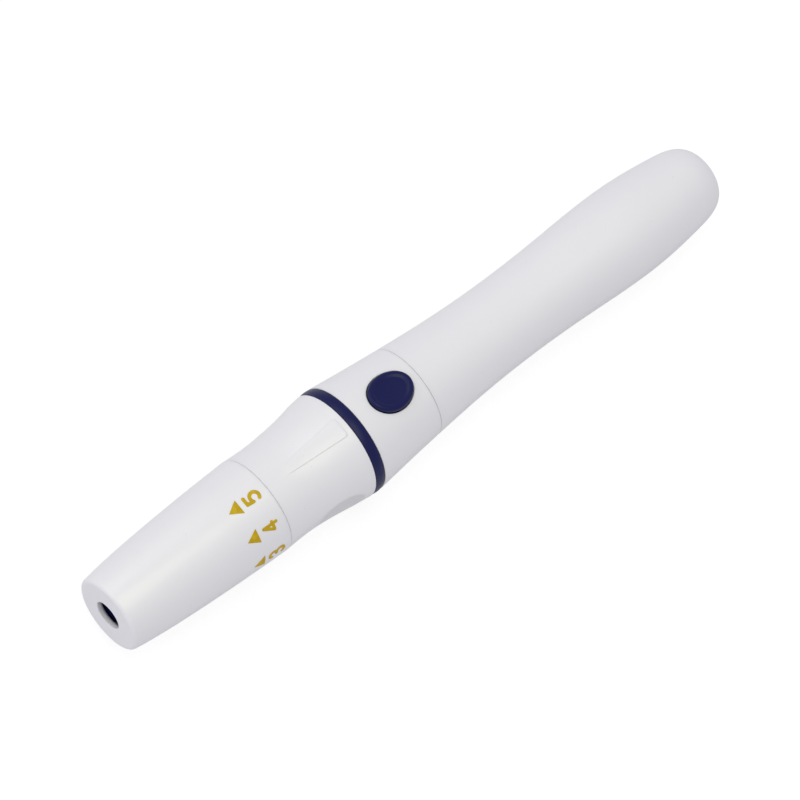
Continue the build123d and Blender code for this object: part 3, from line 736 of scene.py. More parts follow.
# %% Outline and windows of the front body
BODY_REAR = 57.54
BODY_BORE = 6.5
WEB_FRONT = 56.45
BUTTON_AT = 52.35
HOLE_LONG, HOLE_WIDE = 3.9, 3.125
WINDOW_CELLS = 40
WINDOW_COLUMNS = 30
BODY_COLUMNS = 224
body_curve = smooth_curve([(RING_REAR, 8.9), (51.45, 8.24), (57.5, 7.66)], 200)


def body_radius(station):
    """Radius of the front body's outside at a station."""
    return np.interp(station, body_curve[:, 0], body_curve[:, 1])


def body_run(start, end, cells):
    """A run of the outside with a given number of cells."""
    station = np.linspace(start, end, cells + 1)
    return np.stack([station, body_radius(station)], axis=-1)


outer_window, inner_window = (46.6, 57.1), (46.6, 56.4)
lead_in = join_runs(
    [straight((RING_REAR, BODY_BORE), (RING_REAR, 8.9), 0.3), body_run(RING_REAR, outer_window[0], 6)],
    [0.1, 0], closed=False,
)
outer_rows = body_run(*outer_window, WINDOW_CELLS)
rear_rows = join_runs(
    [body_run(outer_window[1], BODY_REAR, 4)]
    + straight_runs((BODY_REAR, float(body_radius(BODY_REAR))), (BODY_REAR, 4.65), (WEB_FRONT, 4.65),
                    (WEB_FRONT, BODY_BORE)),
    [0.08, 0.1, 0.1, 0], closed=False,
)
inner_rows = np.linspace((inner_window[1], BODY_BORE), (inner_window[0], BODY_BORE), WINDOW_CELLS + 1)
body_outline = np.vstack([lead_in[:-1], outer_rows, rear_rows[1:], inner_rows])
outer_first = len(lead_in) - 1
inner_first = outer_first + len(outer_rows) + len(rear_rows) - 1
print("front body outline:", len(body_outline), "points")

# %% The front body's two grids


def window_border(index, front_row, step):
    """Point numbers round a window: over its front, back along one side, and round again."""
    rows = front_row + step * np.arange(WINDOW_CELLS + 1)
    columns = np.arange(-WINDOW_COLUMNS, WINDOW_COLUMNS + 1)
    border = [
        index[rows[0], columns[:-1]], index[rows[:-1], columns[-1]],
        index[rows[-1], columns[:0:-1]], index[rows[:0:-1], columns[0]],
    ]
    return np.concatenate(border)


def oval_at(angle, outset):
    """Station and distance across of the hole's oval, pushed outward by an outset."""
    return BUTTON_AT + (HOLE_LONG + outset) * np.cos(angle), (HOLE_WIDE + outset) * np.sin(angle)


def blended_rows(border, angle, outset, radius_at, shares):
    """Rows between a window's border and the oval, straight in station and azimuth."""
    station, azimuth = border
    rim_station, rim_across = oval_at(angle, outset)
    rim_azimuth = np.arcsin(rim_across / radius_at(rim_station))
    s = station + shares[:, None] * (rim_station - station)
    return pen_points(s, radius_at(s), azimuth + shares[:, None] * (rim_azimuth - azimuth))


azimuths = even_azimuths(BODY_COLUMNS)
shell_points = pen_points(body_outline[:, :1], body_outline[:, 1:], azimuths).reshape(-1, 3)
index = np.arange(len(shell_points)).reshape(len(body_outline), BODY_COLUMNS)
signed_azimuth = np.where(azimuths > np.pi, azimuths - 2 * np.pi, azimuths)
outer_border = window_border(index, outer_first, 1)
inner_border = window_border(index, inner_first + WINDOW_CELLS, -1)
border_place = [
    (body_outline[border // BODY_COLUMNS, 0], signed_azimuth[border % BODY_COLUMNS])
    for border in (outer_border, inner_border)
]
outer_across = body_radius(border_place[0][0]) * np.sin(border_place[0][1])
oval_angle = np.arctan2(outer_across / HOLE_WIDE, (border_place[0][0] - BUTTON_AT) / HOLE_LONG)
LIP = 0.2
skin = blended_rows(border_place[0], oval_angle, LIP, body_radius, np.linspace(0, 1, 13)[1:])
lip_turn = np.linspace(0, np.pi / 2, 7)[1:]
lip_place = [oval_at(oval_angle, LIP * (1 - math.sin(turn))) for turn in lip_turn]
lip = np.stack([
    plan_points(s, y, np.sqrt(body_radius(s) ** 2 - y**2) - LIP * (1 - math.cos(turn)))
    for (s, y), turn in zip(lip_place, lip_turn)
])
wall_station, wall_across = oval_at(oval_angle, 0.0)
wall_top = np.sqrt(body_radius(wall_station) ** 2 - wall_across**2) - LIP
wall_foot = np.sqrt(BODY_BORE**2 - wall_across**2)
wall_share = np.linspace(0, 1, 7)[1:, None]
wall = plan_points(wall_station, wall_across, wall_top + wall_share * (wall_foot - wall_top))
lining = blended_rows(
    border_place[1], oval_angle, 0.0, lambda s: np.full_like(s, BODY_BORE), np.linspace(1, 0, 9)[1:-1]
)
patch_rows = np.concatenate([skin, lip, wall, lining])
patch_index = len(shell_points) + np.arange(patch_rows.shape[0] * patch_rows.shape[1])
patch_index = patch_index.reshape(patch_rows.shape[:2])
patch_index = np.vstack([outer_border, patch_index, inner_border])
print("grid round the hole:", patch_index.shape[0], "rows of", patch_index.shape[1], "points")

# %% Sew them together
in_window = np.zeros(index.shape, bool)
window_columns = np.arange(-WINDOW_COLUMNS, WINDOW_COLUMNS)
for first in (outer_first, inner_first):
    in_window[np.ix_(first + np.arange(WINDOW_CELLS), window_columns % BODY_COLUMNS)] = True
shell_faces = grid_faces(index, wrap_rows=True)[~in_window.ravel()]
all_points = np.vstack([shell_points, patch_rows.reshape(-1, 3)])
body_seam = seam_values(all_points[:, 0] / MM + PEN_LENGTH / 2, [RING_REAR, BODY_REAR])
front_body = make_mesh(
    "front_body_shell", all_points, [shell_faces, grid_faces(patch_index)], {"seam": body_seam}
)
place(front_body, "body", "white_shell", "front_body")

# %% [markdown]
# ## The release button
# The navy button follows the body's curve, seven tenths of a millimetre proud of it. Its edge
# is soft, and inside a rim the top is dished, so a fingertip finds the middle. Underneath it is
# hollow, with a flange that keeps it in its hole and a stem that pushes the latch.
# The whole piece is one stack of closed rings, from the foot of the stem up inside, out over
# the flange and back over the top, and a pole closes it at each end.

# %% Rings of the button
BUTTON_LONG, BUTTON_WIDE = 3.8, 3.025
BUTTON_LIFT = 0.7
DISH_DEPTH = 0.22
RING_POINTS = 144
ring_angle = np.arange(RING_POINTS) * 2 * np.pi / RING_POINTS


def oval_ring(long, wide, power):
    """Ring |x/long|^power + |y/wide|^power = 1 as station and distance across."""
    c, s = np.cos(ring_angle), np.sin(ring_angle)
    x = np.sign(c) * np.abs(c) ** (2 / power) * long
    y = np.sign(s) * np.abs(s) ** (2 / power) * wide
    return BUTTON_AT + x, y


def flat_ring(long, wide, power, height):
    """A ring at one height over the axis."""
    return plan_points(*oval_ring(long, wide, power), height)


def curved_ring(long, wide, power, radius):
    """A ring that lies on a cylinder about the pen's axis."""
    station, across = oval_ring(long, wide, power)
    return plan_points(station, across, np.sqrt(radius**2 - across**2))


def top_ring(inset, lift):
    """A ring of the button's top: an inset from its side and a lift over the body's skin."""
    station, across = oval_ring(BUTTON_LONG - inset, BUTTON_WIDE - inset, 2)
    radius = body_radius(station) + lift
    return plan_points(station, across, np.sqrt(radius**2 - across**2))


STEM_FOOT, ROOF, LIP_LOW, LIP_HIGH = 4.66, 7.46, 5.9, 6.4
STEM_LONG, STEM_WIDE = 1.03, 1.2
CAVITY_LONG, CAVITY_WIDE = 2.9, 2.125
FLANGE_LONG, FLANGE_WIDE = 3.75, 3.775


def between(first, second, share):
    """Half length, half width and power of an oval between two others."""
    return [a + (b - a) * share for a, b in zip(first, second)]


stem = (STEM_LONG, STEM_WIDE, 6)
cavity = (CAVITY_LONG, CAVITY_WIDE, 2)
flange = (FLANGE_LONG, FLANGE_WIDE, 3)
wall_side = (BUTTON_LONG, BUTTON_WIDE, 2)
under_rings = [flat_ring(STEM_LONG * k, STEM_WIDE * k, 4, STEM_FOOT) for k in (0.3, 0.7, 0.95)]
under_rings += [flat_ring(*stem, z) for z in np.linspace(STEM_FOOT + 0.1, ROOF - 0.1, 7)]
under_rings += [flat_ring(*between(stem, cavity, k), ROOF) for k in (0.1, 0.5, 0.95)]
under_rings += [flat_ring(*cavity, z) for z in (ROOF - 0.07, 6.9, 6.4, 6.0)]
under_rings += [curved_ring(*between(cavity, flange, k), LIP_LOW) for k in (0, 0.5, 0.97)]
under_rings += [curved_ring(*flange, r) for r in (LIP_LOW + 0.05, LIP_HIGH - 0.05)]
under_rings += [curved_ring(*between(flange, wall_side, k), LIP_HIGH) for k in (0.05, 0.5, 1.0)]
edge = np.linspace(0, np.pi / 2, 9)
EDGE_ROUND = 0.42
top_profile = [(0.0, lift) for lift in (-0.6, -0.2, 0.1, 0.2)]
top_profile += list(zip(EDGE_ROUND * (1 - np.cos(edge)), BUTTON_LIFT - EDGE_ROUND * (1 - np.sin(edge))))
rim_inset = np.linspace(0.5, 1.5, 16)[1:]
top_profile += list(zip(rim_inset, BUTTON_LIFT - DISH_DEPTH * smooth_step((rim_inset - 0.62) / 0.6)))
top_profile += [
    (inset, BUTTON_LIFT - DISH_DEPTH - 0.02 * (inset - 1.5)) for inset in np.linspace(1.7, 2.85, 7)
]
button_rings = np.stack(under_rings + [top_ring(*row) for row in top_profile])
print("button:", len(button_rings), "rings of", RING_POINTS)

# %% Stack the rings
count = button_rings.shape[0] * RING_POINTS
ring_index = np.arange(count).reshape(-1, RING_POINTS)
dish_middle = body_radius(BUTTON_AT) + BUTTON_LIFT - DISH_DEPTH - 0.035
poles = plan_points(BUTTON_AT, 0.0, np.array([STEM_FOOT, dish_middle]))
button_points = np.vstack([button_rings.reshape(-1, 3), poles])
button_tables = [
    grid_faces(ring_index), fan_faces(ring_index[0], count), fan_faces(ring_index[-1], count + 1)
]
button = make_mesh("button_shell", button_points, button_tables, {"seam": np.zeros(count + 2)})
place(button, "button", "navy_plastic", "release_button")

# %% [markdown]
# ## The rear handle
# The long white shell is drawn back to arm the pen, and its waist and bulge give the fingers a
# hold. The outline runs to the axis at the domed end, and the inside runs back to the axis too,
# so both ends of it are poles. Its skin is bare and smooth all over.

# %% The handle
HANDLE_FRONT = 57.58
handle_curve = smooth_curve(
    [(HANDLE_FRONT, 7.66), (66.27, 6.98), (77.28, 6.62), (88.78, 6.88), (101.965, 7.3),
     (112.0, 6.45), (117.1, 4.6), (PEN_LENGTH, 0.0)],
    240, start=(1, -0.09), end=(0, -1),
)
handle_inside = straight_runs(
    (HANDLE_FRONT, 5.9), (60.0, 5.9), (60.0, 4.65), (66.0, 4.65), (66.0, 5.4), (98.95, 5.4),
    (98.95, 4.9), (111.5, 4.9), (115.2, 3.0), (115.2, 0.0),
)
handle_runs = [handle_curve[::-1], straight((HANDLE_FRONT, 7.66), (HANDLE_FRONT, 5.9), 0.2)]
handle_outline = join_runs(
    handle_runs + handle_inside, [0.08, 0.15, 0.1, 0.1, 0.1, 0.1, 0.1, 0.1, 0.3, 0.3, 0], closed=False
)
handle = turned_shell(
    "handle_shell", handle_outline, even_azimuths(208), seams=[HANDLE_FRONT], poles=True
)
place(handle, "handle", "white_shell", "rear_handle")

# %% [markdown]
# ## The springs
# Four coil springs drive the pen. A compression spring is wound from drawn wire: a few open
# turns, and at each end one closed turn that sits flat on its seat. The centre line is a helix
# whose advance per turn is small at the ends and even between. A tube of points follows it, and
# each point keeps its place along the wire and round it, for the streaks that drawing leaves.
# The return spring keeps its length, because a squash can't stretch it.

# %% Coils of wire
SIDES = 12
STEPS_PER_TURN = 44
CLOSED_TURN = 1.02


def coil(name, front, rear, mean_radius, wire, open_turns, axis="pen", centre=(0.0, 0.0)):
    """Wire of radius w/2 swept along a helix with one closed turn at each end.

    The advance per turn is just over the wire's thickness in the end turns and one larger value
    between, joined by smooth steps and chosen so that the coil fills the length between its
    seats.
    Each section is a circle in the plane of the outward direction and the cross product of the
    wire's direction with it.
    """
    turns = open_turns + 2
    turn = np.linspace(0, turns, int(turns * STEPS_PER_TURN) + 1)
    ends = smooth_step(np.minimum(turn, turns - turn) - 0.6)
    spare = (rear - front - wire) - turns * wire * CLOSED_TURN
    advance = CLOSED_TURN * wire + ends * spare / (ends.mean() * turns)
    steps = np.diff(turn) * (advance[1:] + advance[:-1]) / 2
    along = front + wire / 2 + np.concatenate([[0.0], np.cumsum(steps)])
    angle = 2 * np.pi * turn
    outward = np.stack([np.zeros_like(angle), np.sin(angle), np.cos(angle)], axis=-1)
    line = np.stack([along, mean_radius * outward[:, 1], mean_radius * outward[:, 2]], axis=-1)
    forward = np.gradient(line, axis=0)
    length = np.concatenate([[0.0], np.cumsum(np.linalg.norm(np.diff(line, axis=0), axis=1))])
    forward /= np.linalg.norm(forward, axis=1)[:, None]
    binormal = np.cross(forward, outward)
    round_angle = np.arange(SIDES) * 2 * np.pi / SIDES
    c, s = np.cos(round_angle)[None, :, None], np.sin(round_angle)[None, :, None]
    tube = line[:, None, :] + wire / 2 * (c * outward[:, None, :] + s * binormal[:, None, :])
    points = np.vstack([tube.reshape(-1, 3), line[[0, -1]]])
    if axis == "pen":
        points = plan_points(points[:, 0], points[:, 1], points[:, 2])
    else:
        points = plan_points(centre[0] + points[:, 2], centre[1] + points[:, 1], points[:, 0])
    index = np.arange(len(line) * SIDES).reshape(-1, SIDES)
    size = index.size
    tables = [grid_faces(index), fan_faces(index[0], size), fan_faces(index[-1], size + 1)]
    run = np.stack(np.broadcast_arrays(length[:, None], c[..., 0], s[..., 0]), axis=-1)
    run = np.vstack([run.reshape(-1, 3), [[0, 0, 0], [length[-1], 0, 0]]])
    return make_mesh(name, points, tables, {"wire_run": run})


print("faces in a turn of wire:", SIDES * STEPS_PER_TURN)

# %% Wind the four springs


def box_along(node, axis):
    """A CAD node's span along one axis, in millimetres; along x it is given as stations."""
    low, high = (corner[axis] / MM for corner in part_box(node))
    shift = (PEN_LENGTH / 2, 0.0, -AXIS_HEIGHT)[axis]
    return low + shift, high + shift


drive_front, drive_rear = box_along("drive_spring", 0)
drive = coil("drive_spring_coil", drive_front, drive_rear, 3.05, 0.7, 8)
back = coil("return_spring_coil", *box_along("return_spring", 0), 2.4, 0.5, 4)
arming_front, arming_rear = box_along("handle_spring", 0)
arming = coil("handle_spring_coil", arming_front, arming_rear, 5.0, 0.45, 7)
spring_foot, spring_head = box_along("button_spring", 2)
spring_at = sum(box_along("button_spring", 0)) / 2
upright = coil(
    "button_spring_coil", spring_foot, spring_head, 0.57, 0.22, 4, axis="up", centre=(spring_at, 0.0)
)
for spring in (drive, back, arming, upright):
    place(spring, "body", "spring_steel", spring.name.removesuffix("_coil"))

DRAW = 6.5
PRESS = 0.8
for spring, joint, direction, anchor, length, travel in (
    (drive, "plunger_draw", (1, 0, 0), pen_points(drive_rear, 0, 0), drive_rear - drive_front, DRAW),
    (arming, "handle_pull", (1, 0, 0), pen_points(arming_rear, 0, 0), arming_rear - arming_front, DRAW),
    (upright, "button_press", (0, 0, 1), plan_points(spring_at, 0, spring_foot),
     spring_head - spring_foot, PRESS),
):
    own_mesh(spring)

# %% [markdown]
# ## A shared effect: moulded plastic
# Every shell came out of a steel mould, so they share the same small signs of it: a fine
# unevenness that breaks up reflections, a soft variation in gloss, a few specks in the melt and
# a trace of dirt in the seams. Where a mesh carries the recess mask, the plastic is a little less
# glossy, and it is also painted greyer there as painted shade for the recess. An image could carry
# these, but noise computed at each point has no edges and no limit of detail. One node group holds
# the effect, and each material places it with its own strengths. The group gives out only a
# colour, a roughness and a normal, and the shader stays in the material.

# %% Helpers for node trees


def add_node(tree, kind, inputs=None, **settings):
    """Adds a node, sets its properties, and sets or feeds its named or numbered inputs.

    An input may be a value or the output socket of another node.
    """
    node = tree.nodes.new(kind)
    for name, value in settings.items():
        setattr(node, name, value)
    for name, value in (inputs or {}).items():
        if isinstance(value, bpy.types.NodeSocket):
            tree.links.new(value, node.inputs[name])
        else:
            node.inputs[name].default_value = value
    return node


def math_node(tree, operation, *inputs):
    """Result of a sum on up to three values or sockets."""
    return add_node(tree, "ShaderNodeMath", dict(enumerate(inputs)), operation=operation).outputs[0]


def feed(tree, node, **sockets):
    """Links sockets to a node's inputs; an underscore in a name stands for a space."""
    for name, socket in sockets.items():
        tree.links.new(socket, node.inputs[name.replace("_", " ")])


def noise(tree, vector, scale, detail, roughness=0.5):
    """Fractal noise from 0 to 1 at a place."""
    values = {"Vector": vector, "Scale": scale, "Detail": detail, "Roughness": roughness}
    return add_node(tree, "ShaderNodeTexNoise", values).outputs["Fac"]


def spread(tree, value, low, high):
    """A value from 0 to 1, spread evenly from low to high."""
    values = {"Value": value, "To Min": low, "To Max": high}
    return add_node(tree, "ShaderNodeMapRange", values).outputs["Result"]


def new_group(name, inputs, outputs):
    """An empty node group with its sockets; a socket is a name, a kind and a default."""
    tree = bpy.data.node_groups.new(name, "ShaderNodeTree")
    for label, kind, value in inputs:
        socket = tree.interface.new_socket(label, in_out="INPUT", socket_type=kind)
        socket.default_value = value
    for label, kind in outputs:
        tree.interface.new_socket(label, in_out="OUTPUT", socket_type=kind)
    return tree, tree.nodes.new("NodeGroupInput"), tree.nodes.new("NodeGroupOutput")


COLOR, NUMBER, VECTOR = "NodeSocketColor", "NodeSocketFloat", "NodeSocketVector"

# %% The moulded plastic group
moulded, gin, gout = new_group(
    "moulded_plastic",
    [
        ("Color", COLOR, (0.8, 0.8, 0.8, 1)),
        ("Dirt And Shade Color", COLOR, (0.3, 0.29, 0.28, 1)),
        ("Dirt", NUMBER, 0.2),
        ("Cloud", NUMBER, 0.02),
        ("Specks", NUMBER, 0.2),
        ("Roughness", NUMBER, 0.3),
        ("Gloss Change", NUMBER, 0.06),
        ("Skin", NUMBER, 0.1),
        # How far the recess floors are painted towards the dirt colour, as painted shade.
        ("Painted Recess Shade", NUMBER, 0.0),
    ],
    [("Color", COLOR), ("Roughness", NUMBER), ("Normal", VECTOR)],
)
where = add_node(moulded, "ShaderNodeTexCoord").outputs["Object"]
centred = add_node(
    moulded, "ShaderNodeMapping", {"Vector": where, "Location": (0, 0, -AXIS_HEIGHT * MM)}
).outputs[0]
cloud = noise(moulded, centred, 170.0, 4.0, 0.55)
half_cloud = math_node(moulded, "MULTIPLY_ADD", gin.outputs["Cloud"], -0.5, 1.0)
shade = math_node(moulded, "MULTIPLY_ADD", cloud, gin.outputs["Cloud"], half_cloud)
tinted = add_node(
    moulded, "ShaderNodeVectorMath", {0: gin.outputs["Color"], "Scale": shade}, operation="SCALE"
)

# %% Specks, seams and the painted shade in the recesses


def mask(name):
    """A number that the mesh carries at its points, or 0 where it has none."""
    return add_node(moulded, "ShaderNodeAttribute", attribute_name=name).outputs["Fac"]


cells = add_node(
    moulded, "ShaderNodeTexVoronoi", {"Vector": centred, "Scale": 420.0, "Randomness": 1.0}
)
speck = add_node(moulded, "ShaderNodeMapRange", {
    "Value": cells.outputs["Distance"], "From Min": 0.035, "From Max": 0.06, "To Min": 1.0,
    "To Max": 0.0,
})
speck_share = math_node(moulded, "MULTIPLY", speck.outputs["Result"], gin.outputs["Specks"])
dirt_share = math_node(moulded, "MULTIPLY", mask("seam"), noise(moulded, centred, 900.0, 3.0))
dirt_share = math_node(moulded, "MULTIPLY", dirt_share, gin.outputs["Dirt"])
# Painted shade on the recess floors; the same share also makes them rougher below.
recess_shade_and_satin = math_node(moulded, "MULTIPLY", mask("recess_shade_mask"), gin.outputs["Painted Recess Shade"])
# The share towards the dirt colour is the largest of seam dirt, specks and the painted recess shade.
dirt_and_shade_share = math_node(moulded, "MAXIMUM", dirt_share, speck_share)
dirt_and_shade_share = math_node(moulded, "MAXIMUM", dirt_and_shade_share, recess_shade_and_satin)
mixed = add_node(moulded, "ShaderNodeMix", data_type="RGBA")
feed(moulded, mixed, Factor=dirt_and_shade_share, A=tinted.outputs[0], B=gin.outputs["Dirt And Shade Color"])

# %% Gloss and skin
gloss = noise(moulded, centred, 320.0, 5.0, 0.6)
gloss_shift = math_node(moulded, "SUBTRACT", gloss, 0.5)
rough = math_node(
    moulded, "MULTIPLY_ADD", gloss_shift, gin.outputs["Gloss Change"], gin.outputs["Roughness"]
)
satin = math_node(moulded, "ADD", rough, recess_shade_and_satin)
skin = add_node(moulded, "ShaderNodeBump", {
    "Distance": 0.00002, "Height": noise(moulded, centred, 1500.0, 2.0),
    "Strength": gin.outputs["Skin"],
})
feed(moulded, gout, Color=mixed.outputs["Result"], Roughness=satin, Normal=skin.outputs["Normal"])
print("group", moulded.name, "has", len(moulded.nodes), "nodes")

# %% [markdown]
# ## The finishes
# The white shells are semi-gloss plastic, very slightly cool. The navy parts are the same
# plastic dyed through. The gold print is a matte ink with fine flakes in it. Inner parts are
# plain matte plastic. The springs are drawn steel, whose streaks follow the wire, and on the
# small stamped pieces the streaks run straight. A value that is the same all over a surface is
# set on the shader's own socket.

# %% Plastic finishes


def new_material(name, **values):
    """A material, its node tree and its Principled shader, with values on the shader's sockets."""
    material = bpy.data.materials.new(name)
    material.use_nodes = True
    shader = material.node_tree.nodes["Principled BSDF"]
    for label, value in values.items():
        shader.inputs[label.replace("_", " ")].default_value = value
    return material, material.node_tree, shader


def plastic(name, group_values, **shader_values):
    """Material with the moulded group feeding a Principled shader."""
    material, tree, shader = new_material(name, IOR=1.5, **shader_values)
    group = add_node(tree, "ShaderNodeGroup", group_values, node_tree=moulded).outputs
    feed(
        tree, shader, Base_Color=group["Color"], Roughness=group["Roughness"],
        Normal=group["Normal"],
    )
    return material


# On the white shells the recess floors are painted 0.15 of the way towards the dirt colour, as painted
# shade.
white_shell = plastic(
    "white_shell_plastic",
    {"Color": (0.79, 0.79, 0.81, 1), "Dirt": 0.22, "Cloud": 0.02, "Specks": 0.12,
     "Roughness": 0.3, "Gloss Change": 0.1, "Skin": 0.12, "Painted Recess Shade": 0.15},
)
navy = plastic(
    "navy_dyed_plastic",
    {"Color": (0.006, 0.0085, 0.068, 1), "Dirt And Shade Color": (0.06, 0.06, 0.08, 1), "Dirt": 0.2,
     "Cloud": 0.25, "Specks": 0.15, "Roughness": 0.36, "Gloss Change": 0.16, "Skin": 0.3},
    Specular_IOR_Level=0.2,
)
inner = plastic(
    "inner_matte_plastic",
    {"Color": (0.62, 0.63, 0.65, 1), "Dirt": 0.2, "Cloud": 0.05, "Specks": 0.15,
     "Roughness": 0.48, "Gloss Change": 0.14, "Skin": 0.35},
)
print("plastics:", [plastic_look.name for plastic_look in (white_shell, navy, inner)])

# %% Gold ink


def two_tone(tree, factor, positions, colors):
    """Colour ramp from one colour to another, between two positions of the factor."""
    ramp = add_node(tree, "ShaderNodeValToRGB", {"Fac": factor})
    for element, position, color in zip(ramp.color_ramp.elements, positions, colors):
        element.position, element.color = position, (*color, 1)
    return ramp.outputs["Color"]


def fine_relief(tree, height, strength):
    """Bump of a hundredth of a millimetre at full height."""
    values = {"Height": height, "Strength": strength, "Distance": 0.00001}
    return add_node(tree, "ShaderNodeBump", values).outputs["Normal"]


gold, tree, shader = new_material("gold_ink", Specular_IOR_Level=0.2)
where = add_node(tree, "ShaderNodeTexCoord").outputs["Object"]
flakes = add_node(tree, "ShaderNodeTexVoronoi", {"Vector": where, "Scale": 9000.0})
film = noise(tree, where, 1400.0, 3.0)
ink = two_tone(tree, film, (0.3, 0.75), ((0.47, 0.31, 0.004), (0.62, 0.42, 0.01)))
mixed = add_node(tree, "ShaderNodeMix", {"Factor": 0.07}, data_type="RGBA", blend_type="OVERLAY")
feed(tree, mixed, A=ink, B=flakes.outputs["Color"])
feed(
    tree, shader, Base_Color=mixed.outputs["Result"], Roughness=spread(tree, film, 0.38, 0.56),
    Normal=fine_relief(tree, film, 0.25),
)
print(gold.name, "has", len(tree.nodes), "nodes")

# %% Drawn steel


def steel_material(name, wound):
    """Steel with fine streaks: along the wire where wound, otherwise across the pen."""
    material, tree, shader = new_material(name, Metallic=1.0)
    if wound:
        where = add_node(tree, "ShaderNodeAttribute", attribute_name="wire_run").outputs["Vector"]
        scale = (0.35, 6.0, 6.0)
    else:
        where = add_node(tree, "ShaderNodeTexCoord").outputs["Object"]
        scale = (9000.0, 900.0, 900.0)
    stretched = add_node(tree, "ShaderNodeMapping", {"Vector": where, "Scale": scale}).outputs[0]
    streaks = noise(tree, stretched, 1.0, 4.0)
    steel = two_tone(tree, streaks, (0.3, 0.7), ((0.42, 0.43, 0.45), (0.66, 0.67, 0.69)))
    feed(
        tree, shader, Base_Color=steel, Roughness=spread(tree, streaks, 0.22, 0.42),
        Normal=fine_relief(tree, streaks, 0.3),
    )
    return material


wire_steel = steel_material("drawn_wire_steel", True)
sheet_steel = steel_material("stamped_steel", False)
print("steels:", wire_steel.name, "and", sheet_steel.name)

# %% Give every piece its finish
finishes = {
    "dial_shell": white_shell, "sleeve_shell": white_shell, "front_body_shell": white_shell,
    "handle_shell": white_shell, "accent_ring_shell": navy, "button_shell": navy,
    "dial_print": gold, "nose_collar_shell": inner, "drive_spring_coil": wire_steel,
    "return_spring_coil": wire_steel, "handle_spring_coil": wire_steel,
    "button_spring_coil": wire_steel,
}
for name, material in finishes.items():
    bpy.data.objects[name].data.materials.append(material)

slot_finish = {"white_shell": white_shell, "navy_plastic": navy, "gold_print": gold,
               "inner_plastic": inner, "spring_steel": sheet_steel}
for part in frame["record"]["subparts"]:
    for holder in frame["nodes"][part["node"]].material_slots:
        holder.material = slot_finish[part["material_slot"]]
print(len(finishes), "new pieces and", len(frame["nodes"]), "CAD nodes have a finish")

# %% [markdown]
# ## Floor and light
# The pen lies on a wide pale floor, ring down. In the picture the background is pure white and
# the light is soft: an even cool room, a warmer lamp overhead, a weaker one to the upper left
# and one from the tip's side. Their strengths were fitted to the tones round the white shell.
# To the camera, and through anything clear, the floor glows a little, so that it reads as white
# and still keeps a soft shadow; for all other light it is plain pale paper. The lamps stay at a
# level at which a colour renders about as it is written.

# %% The floor
FLOOR_SIZE = 4.0
corners = FLOOR_SIZE / 2 * np.array([[-1, -1, 0], [1, -1, 0], [1, 1, 0], [-1, 1, 0]])
floor_mesh = bpy.data.meshes.new("floor")
floor_mesh.from_pydata(corners.tolist(), [], [(0, 1, 2, 3)])
floor = bpy.data.objects.new("floor", floor_mesh)
bpy.context.scene.collection.objects.link(floor)

floor_look, tree, paper = new_material("floor_paper", Roughness=0.9, Specular_IOR_Level=0.0)
where = add_node(tree, "ShaderNodeTexCoord").outputs["Object"]
feed(tree, paper, Base_Color=spread(tree, noise(tree, where, 260.0, 3.0), 0.77, 0.8))
seen = add_node(tree, "ShaderNodeBsdfDiffuse", {"Color": (0.24, 0.24, 0.245, 1)})
glow = add_node(tree, "ShaderNodeEmission", {"Color": (1, 1, 1, 1), "Strength": 0.82})
bright = add_node(tree, "ShaderNodeAddShader", {0: seen.outputs[0], 1: glow.outputs[0]})
path = add_node(tree, "ShaderNodeLightPath").outputs
direct = math_node(tree, "MAXIMUM", path["Is Camera Ray"], path["Is Transmission Ray"])
choose = add_node(tree, "ShaderNodeMixShader", {0: direct, 1: paper.outputs[0], 2: bright.outputs[0]})
feed(tree, tree.nodes["Material Output"], Surface=choose.outputs[0])
floor_mesh.materials.append(floor_look)
print("floor:", FLOOR_SIZE, "metres square")

# %% The room and the lamps
ROOM_LIGHT = 0.66
world = bpy.data.worlds.new("pale_room")
bpy.context.scene.world = world
world.use_nodes = True
tree = world.node_tree
room = tree.nodes["Background"]
room.inputs["Color"].default_value = (0.833, 0.81, 1.0, 1)
room.inputs["Strength"].default_value = ROOM_LIGHT
backdrop = add_node(tree, "ShaderNodeBackground", {"Color": (1, 1, 1, 1), "Strength": 1.0})
camera_ray = add_node(tree, "ShaderNodeLightPath").outputs["Is Camera Ray"]
choose = add_node(
    tree, "ShaderNodeMixShader", {0: camera_ray, 1: room.outputs[0], 2: backdrop.outputs[0]}
)
feed(tree, tree.nodes["World Output"], Surface=choose.outputs[0])


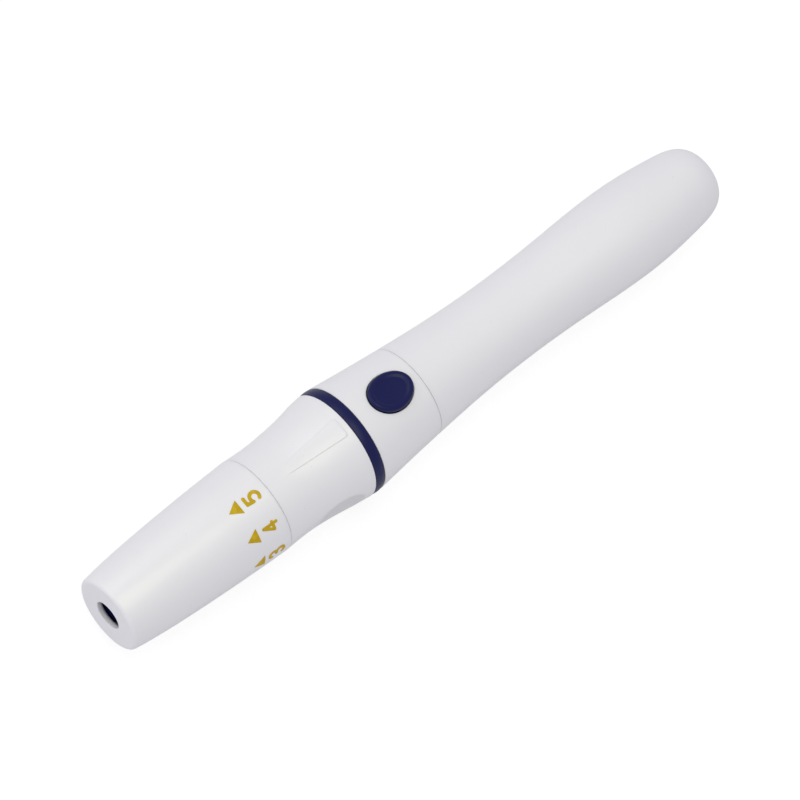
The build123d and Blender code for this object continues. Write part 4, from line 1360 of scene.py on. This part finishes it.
def soft_lamp(name, direction, distance, size, power, color):
    """Square lamp that faces the pen from a direction, in metres and watts."""
    lamp = bpy.data.lights.new(name, "AREA")
    lamp.shape, lamp.size, lamp.energy, lamp.color = "SQUARE", size, power, color
    holder = bpy.data.objects.new(name, lamp)
    bpy.context.scene.collection.objects.link(holder)
    direction = Vector(direction).normalized()
    holder.location = direction * distance
    holder.rotation_mode = "QUATERNION"
    holder.rotation_quaternion = direction.to_track_quat("Z", "Y")
    return holder


soft_lamp("top_lamp", (-0.1, -0.15, 0.99), 0.9, 0.6, 2.75, (0.97, 1.0, 0.62))
soft_lamp("side_lamp", (-0.1, 0.64, 0.76), 0.9, 0.5, 1.1, (0.94, 1.0, 0.86))
soft_lamp("tip_lamp", (-0.8, 0.5, 0.5), 0.9, 0.5, 1.04, (1.0, 0.96, 0.93))
print("room light", ROOM_LIGHT)

# %% [markdown]
# ## The camera
# The picture was taken with a long lens from above, a little from the tip's end. The direction,
# the roll and the distance were fitted to the pen's silhouette. The camera's three axes are the
# columns of its matrix: right, up, and back towards the viewer.

# %% Camera at the photograph's angle
back_axis = Vector((-0.38994, -0.17689, 0.90369)).normalized()
right_axis = Vector((0.7381, -0.64683, 0.19187))
right_axis = (right_axis - right_axis.dot(back_axis) * back_axis).normalized()
up_axis = back_axis.cross(right_axis)
DISTANCE, SHIFT_RIGHT, SHIFT_UP = 0.79087, -0.000371, 0.001537
camera_data = bpy.data.cameras.new("photo_camera")
camera_data.lens = 240.56
camera_data.sensor_width = 36.0
camera_data.clip_start, camera_data.clip_end = 0.05, 10.0
camera = bpy.data.objects.new("photo_camera", camera_data)
bpy.context.scene.collection.objects.link(camera)
turn = Matrix((right_axis, up_axis, back_axis)).transposed()
place_at = back_axis * DISTANCE + right_axis * SHIFT_RIGHT + up_axis * SHIFT_UP
camera.matrix_world = Matrix.Translation(place_at) @ turn.to_4x4()
bpy.context.scene.camera = camera
bpy.context.scene.view_settings.view_transform = "Standard"
print("camera at", [round(v, 4) for v in camera.location])
